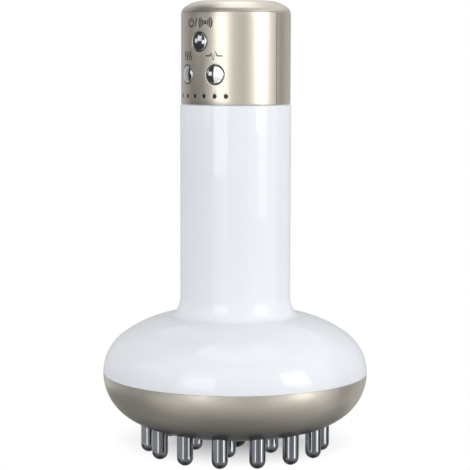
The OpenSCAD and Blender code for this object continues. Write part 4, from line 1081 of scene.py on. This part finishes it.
# Turn from the camera's side, reach, size and brightness of each lamp
FILLS = {"left": (-95, 0.7, 0.5, 1.9), "front": (10, 0.9, 0.6, 2.2), "right": (110, 0.7, 0.5, 1.75),
         "back": (190, 0.7, 0.5, 1.4)}
for side, (fill_turn, reach, size, brightness) in FILLS.items():
    fill = add_lamp(side + "_fill", toward(fill_turn, reach, FILL_HEIGHT), size, size, brightness)
    fill.visible_glossy = False

# %% [markdown]
# Two round lamps overhead do the opposite: they show in the gloss and light nothing. One gives the soft
# sheen on top of the dome, and the other the bright strip along the cap's rolled top edge.

# %% Overhead sheens
SHEEN_HEIGHT = 0.78
# Turn from the camera's side, reach, width, depth and brightness of each lamp
SHEENS = {"dome_sheen": (160, 0.05, 0.6, 0.5, 0.75), "cap_sheen": (180, 0.5, 0.3, 0.26, 1.7)}
for name, (sheen_turn, reach, width, depth, brightness) in SHEENS.items():
    sheen = add_lamp(name, toward(sheen_turn, reach, SHEEN_HEIGHT), width, depth, brightness, down=True)
    sheen.data.shape = "ELLIPSE"
    sheen.visible_diffuse = False

# %% [markdown]
# ## Cards
#
# Photographers stand boards round a glossy thing, for it to mirror. Painting those shades on the brush
# itself would be wrong from every other side. Each card is an upright line spun through part of a circle
# round the brush, and glows in one shade of grey. It is hidden from the camera, from diffuse light and
# from shadows, so it shows only where gloss looks at it.

# %% Helper for cards
CARD_STEP = 4


def add_card(name, turns, heights, shade, reach, high_reach=None):
    """Board between two turns from the camera's side and two heights, seen in reflections alone."""
    bm = bmesh.new()
    foot = bm.verts.new(toward(turns[0], reach, heights[0]))
    head = bm.verts.new(toward(turns[0], high_reach or reach, heights[1]))
    line = bm.edges.new((foot, head))
    width = turns[1] - turns[0]
    bmesh.ops.spin(bm, geom=[foot, head, line], cent=(0, 0, 0), axis=(0, 0, 1), angle=radians(width),
                   steps=max(2, round(width / CARD_STEP)))
    mesh = bpy.data.meshes.new(name)
    bm.to_mesh(mesh)
    bm.free()
    made = bpy.data.materials.new(name)
    made.use_nodes = True
    made.cycles.emission_sampling = "NONE"
    tree = made.node_tree
    tree.nodes.clear()
    glow = add_node(tree, "Emission", Color=(1, 1, 1, 1), Strength=shade)
    result = add_node(tree, "OutputMaterial")
    chain(tree, (glow.outputs[0], result.inputs["Surface"]))
    mesh.materials.append(made)
    card = bpy.data.objects.new(name, mesh)
    bpy.context.scene.collection.objects.link(card)
    card.visible_camera = card.visible_diffuse = card.visible_shadow = False
    print("card", name, "shade:", shade, "faces:", len(mesh.polygons))


print("degrees in a step of a card:", CARD_STEP)

# %% [markdown]
# A smooth tube mirrors the whole room, and in an even white one it would lose its edge. So cards stand
# for the walls of a studio, each with its own grey, and dark screens draw both edges of the handle. The
# cards on the left stand nearer, inside the lamps.

# %% Walls and screens
NEAR, FAR = 0.3, 0.6
NEAR_HEIGHTS, FRONT_HEIGHTS, BACK_HEIGHTS = (-0.03, 0.42), (-0.3, 0.45), (-0.3, 0.42)
add_card("left_wall", (-150, -128), NEAR_HEIGHTS, 0.62, NEAR)
add_card("left_corner", (-128, -108), NEAR_HEIGHTS, 0.42, NEAR)
add_card("left_screen", (-108, -47), NEAR_HEIGHTS, 0.05, NEAR)
add_card("front_left_wall", (-14, 8), FRONT_HEIGHTS, 0.78, FAR)
add_card("front_wall", (8, 26), FRONT_HEIGHTS, 0.52, FAR)
add_card("front_right_wall", (26, 41), FRONT_HEIGHTS, 1.05, FAR)
add_card("right_wall", (73, 92), BACK_HEIGHTS, 1.0, FAR)
add_card("right_screen", (92, 116), BACK_HEIGHTS, 0.2, FAR)
add_card("back_wall", (116, 210), BACK_HEIGHTS, 0.57, FAR)

# %% [markdown]
# The curved head looks further up and down than the handle does. Cards under the level of the floor
# keep the bowl and the teeth from mirroring an endless white, and three cards that lean inwards high
# above the lamps shade the dome.

# %% Low and high screens
HIGH_HEIGHTS, HIGH_FOOT, HIGH_HEAD = (0.56, 0.75), 0.55, 0.26
add_card("low_left_wall", (-165, -75), (-0.8, -0.14), 0.22, FAR)
add_card("low_back_wall", (110, 195), (-0.7, -0.3), 0.25, FAR)
add_card("high_left_screen", (-155, -30), HIGH_HEIGHTS, 0.15, HIGH_FOOT, HIGH_HEAD)
add_card("high_front_screen", (-30, 26), HIGH_HEIGHTS, 0.35, HIGH_FOOT, HIGH_HEAD)
add_card("high_right_screen", (26, 75), HIGH_HEIGHTS, 0.7, HIGH_FOOT, HIGH_HEAD)

# %% [markdown]
# The last cards are bright. Two strips under the level of the floor are the glints that polished teeth
# pick up from below. A tail carries the left lamp's band down to the foot of the handle. Three patches
# on the left lighten the gold round the keys and put the small lights in their chrome.

# %% Glints and glows
GLINT_HEIGHTS, GLINT_REACH, GLOW_REACH = (-0.165, -0.10), 0.62, 0.29
add_card("left_glint", (-34, -21), GLINT_HEIGHTS, 4.5, GLINT_REACH)
add_card("right_glint", (50, 66), GLINT_HEIGHTS, 6.5, GLINT_REACH)
add_card("left_tail", (-27, -17), (0.005, 0.062), 1.9, reach=0.64)
add_card("low_glow", (-65, -53), (0.126, 0.182), 1.2, GLOW_REACH)
add_card("near_glow", (-85, -67), (0.168, 0.240), 0.95, GLOW_REACH)
add_card("far_glow", (-97, -85), (0.148, 0.195), 0.9, GLOW_REACH)

# %% [markdown]
# ## The room
#
# The world is plain white. Light Path lets the camera, reflections and clear parts see it at full
# strength, while the soft light that it throws on the brush is about half of that. Below the horizon
# reflections meet a white that falls off to dark, as they would over a table, which rounds the bowl.

# %% World
SKY_LIGHT = 0.55
TABLE_DARK_AT, TABLE_WHITE_AT, TABLE_DARK = -1.0, -0.3, 0.1
world = bpy.data.worlds.new("studio")
bpy.context.scene.world = world
world.use_nodes = True
tree = world.node_tree
tree.nodes.clear()
seen = add_node(tree, "LightPath")
mirrored = add_node(tree, "Math", {"operation": "MAXIMUM"})
chain(tree, (seen.outputs["Is Glossy Ray"], mirrored.inputs[0]),
      (seen.outputs["Is Transmission Ray"], mirrored.inputs[1]))
way = add_node(tree, "TexCoord")
parts = add_node(tree, "SeparateXYZ")
chain(tree, (way.outputs["Generated"], parts.inputs["Vector"]))
table = spread(tree, parts.outputs["Z"], TABLE_DARK_AT, TABLE_WHITE_AT, TABLE_DARK, 1.0)
sky = add_node(tree, "Background", Color=(1, 1, 1, 1), Strength=SKY_LIGHT)
mirror_sky = add_node(tree, "Background", Color=(1, 1, 1, 1))
paper = add_node(tree, "Background", Color=(1, 1, 1, 1), Strength=1.0)
for_mirrors, for_camera = add_node(tree, "MixShader"), add_node(tree, "MixShader")
result = add_node(tree, "OutputWorld")
chain(tree, (table, mirror_sky.inputs["Strength"]), (mirrored.outputs[0], for_mirrors.inputs["Fac"]),
      (sky.outputs[0], for_mirrors.inputs[1]), (mirror_sky.outputs[0], for_mirrors.inputs[2]),
      (seen.outputs["Is Camera Ray"], for_camera.inputs["Fac"]),
      (for_mirrors.outputs[0], for_camera.inputs[1]), (paper.outputs[0], for_camera.inputs[2]),
      (for_camera.outputs[0], result.inputs["Surface"]))
print("sky light:", SKY_LIGHT)

# %% [markdown]
# The floor is a sheet of white paper under the brush. Its material has two jobs. Close to the brush it
# keeps part of the object's shadow, and further away it glows into the white background, so that no
# horizon shows. The light that bounces off it is that of a greyer sheet, darkest under the brush as a
# painted shade, which keeps the underside of the bowl dark.

# %% Paper of the floor
SHADOW_GLOW, SHADOW_HEART, SHADOW_EDGE, SHADOW_SHIFT = 0.28, 0.012, 0.048, 0.018
UNDER_BOUNCE, UNDER_REACH, FLOOR_BOUNCE, FLOOR_REACH = 0.08, 0.04, 0.4, 0.1
PAPER_WHITE = 0.95
paper_sheet = bpy.data.materials.new("paper_sheet")
paper_sheet.use_nodes = True
paper_sheet.cycles.emission_sampling = "NONE"
tree = paper_sheet.node_tree
tree.nodes.clear()
behind = object_place(tree, shift=-toward(180, SHADOW_SHIFT, 0))
glow_share = spread(tree, length_of(tree, behind), SHADOW_HEART, SHADOW_EDGE, SHADOW_GLOW, 1.0)
# Bounce colour darkest near the axis: a painted shade under the brush for bounced and reflected light.
bounce = spread(tree, length_of(tree, object_place(tree)), UNDER_REACH, FLOOR_REACH)
seen = add_node(tree, "LightPath")
grey = blend_colours(tree, bounce, (UNDER_BOUNCE,) * 3, (FLOOR_BOUNCE,) * 3)
shade = blend_colours(tree, seen.outputs["Is Camera Ray"], grey, (PAPER_WHITE,) * 3)
share = add_node(tree, "Math", {"operation": "MULTIPLY"})
matte = add_node(tree, "BsdfDiffuse")
glow = add_node(tree, "Emission", Color=(1, 1, 1, 1), Strength=1.0)
sheet = add_node(tree, "MixShader")
chain(tree, (glow_share, share.inputs[0]), (seen.outputs["Is Camera Ray"], share.inputs[1]),
      (shade, matte.inputs["Color"]), (share.outputs[0], sheet.inputs["Fac"]),
      (matte.outputs[0], sheet.inputs[1]), (glow.outputs[0], sheet.inputs[2]))
print("shadow kept at its heart:", 1 - SHADOW_GLOW)

# %% [markdown]
# Seen from below, the paper would hide the whole brush. Backfacing tells the two sides of the sheet
# apart, and makes it clear from underneath, so that the teeth can be looked at too. Reflections look
# through the floor to the falling white of the world.

# %% Floor
FLOOR_HALF = 3
side = add_node(tree, "NewGeometry")
clear = add_node(tree, "BsdfTransparent")
two_sided = add_node(tree, "MixShader")
result = add_node(tree, "OutputMaterial")
chain(tree, (side.outputs["Backfacing"], two_sided.inputs["Fac"]), (sheet.outputs[0], two_sided.inputs[1]),
      (clear.outputs[0], two_sided.inputs[2]), (two_sided.outputs[0], result.inputs["Surface"]))
bm = bmesh.new()
bmesh.ops.create_grid(bm, x_segments=1, y_segments=1, size=FLOOR_HALF)
mesh = bpy.data.meshes.new("floor")
bm.to_mesh(mesh)
bm.free()
mesh.materials.append(paper_sheet)
floor = bpy.data.objects.new("floor", mesh)
bpy.context.scene.collection.objects.link(floor)
floor.visible_glossy = False
print("side of the floor in metres:", 2 * FLOOR_HALF)

# %% [markdown]
#
# The dressed model may not be larger than the CAD model. The Standard view shows the colours as they
# were written.

# %% Colour view
bpy.context.scene.view_settings.view_transform = "Standard"
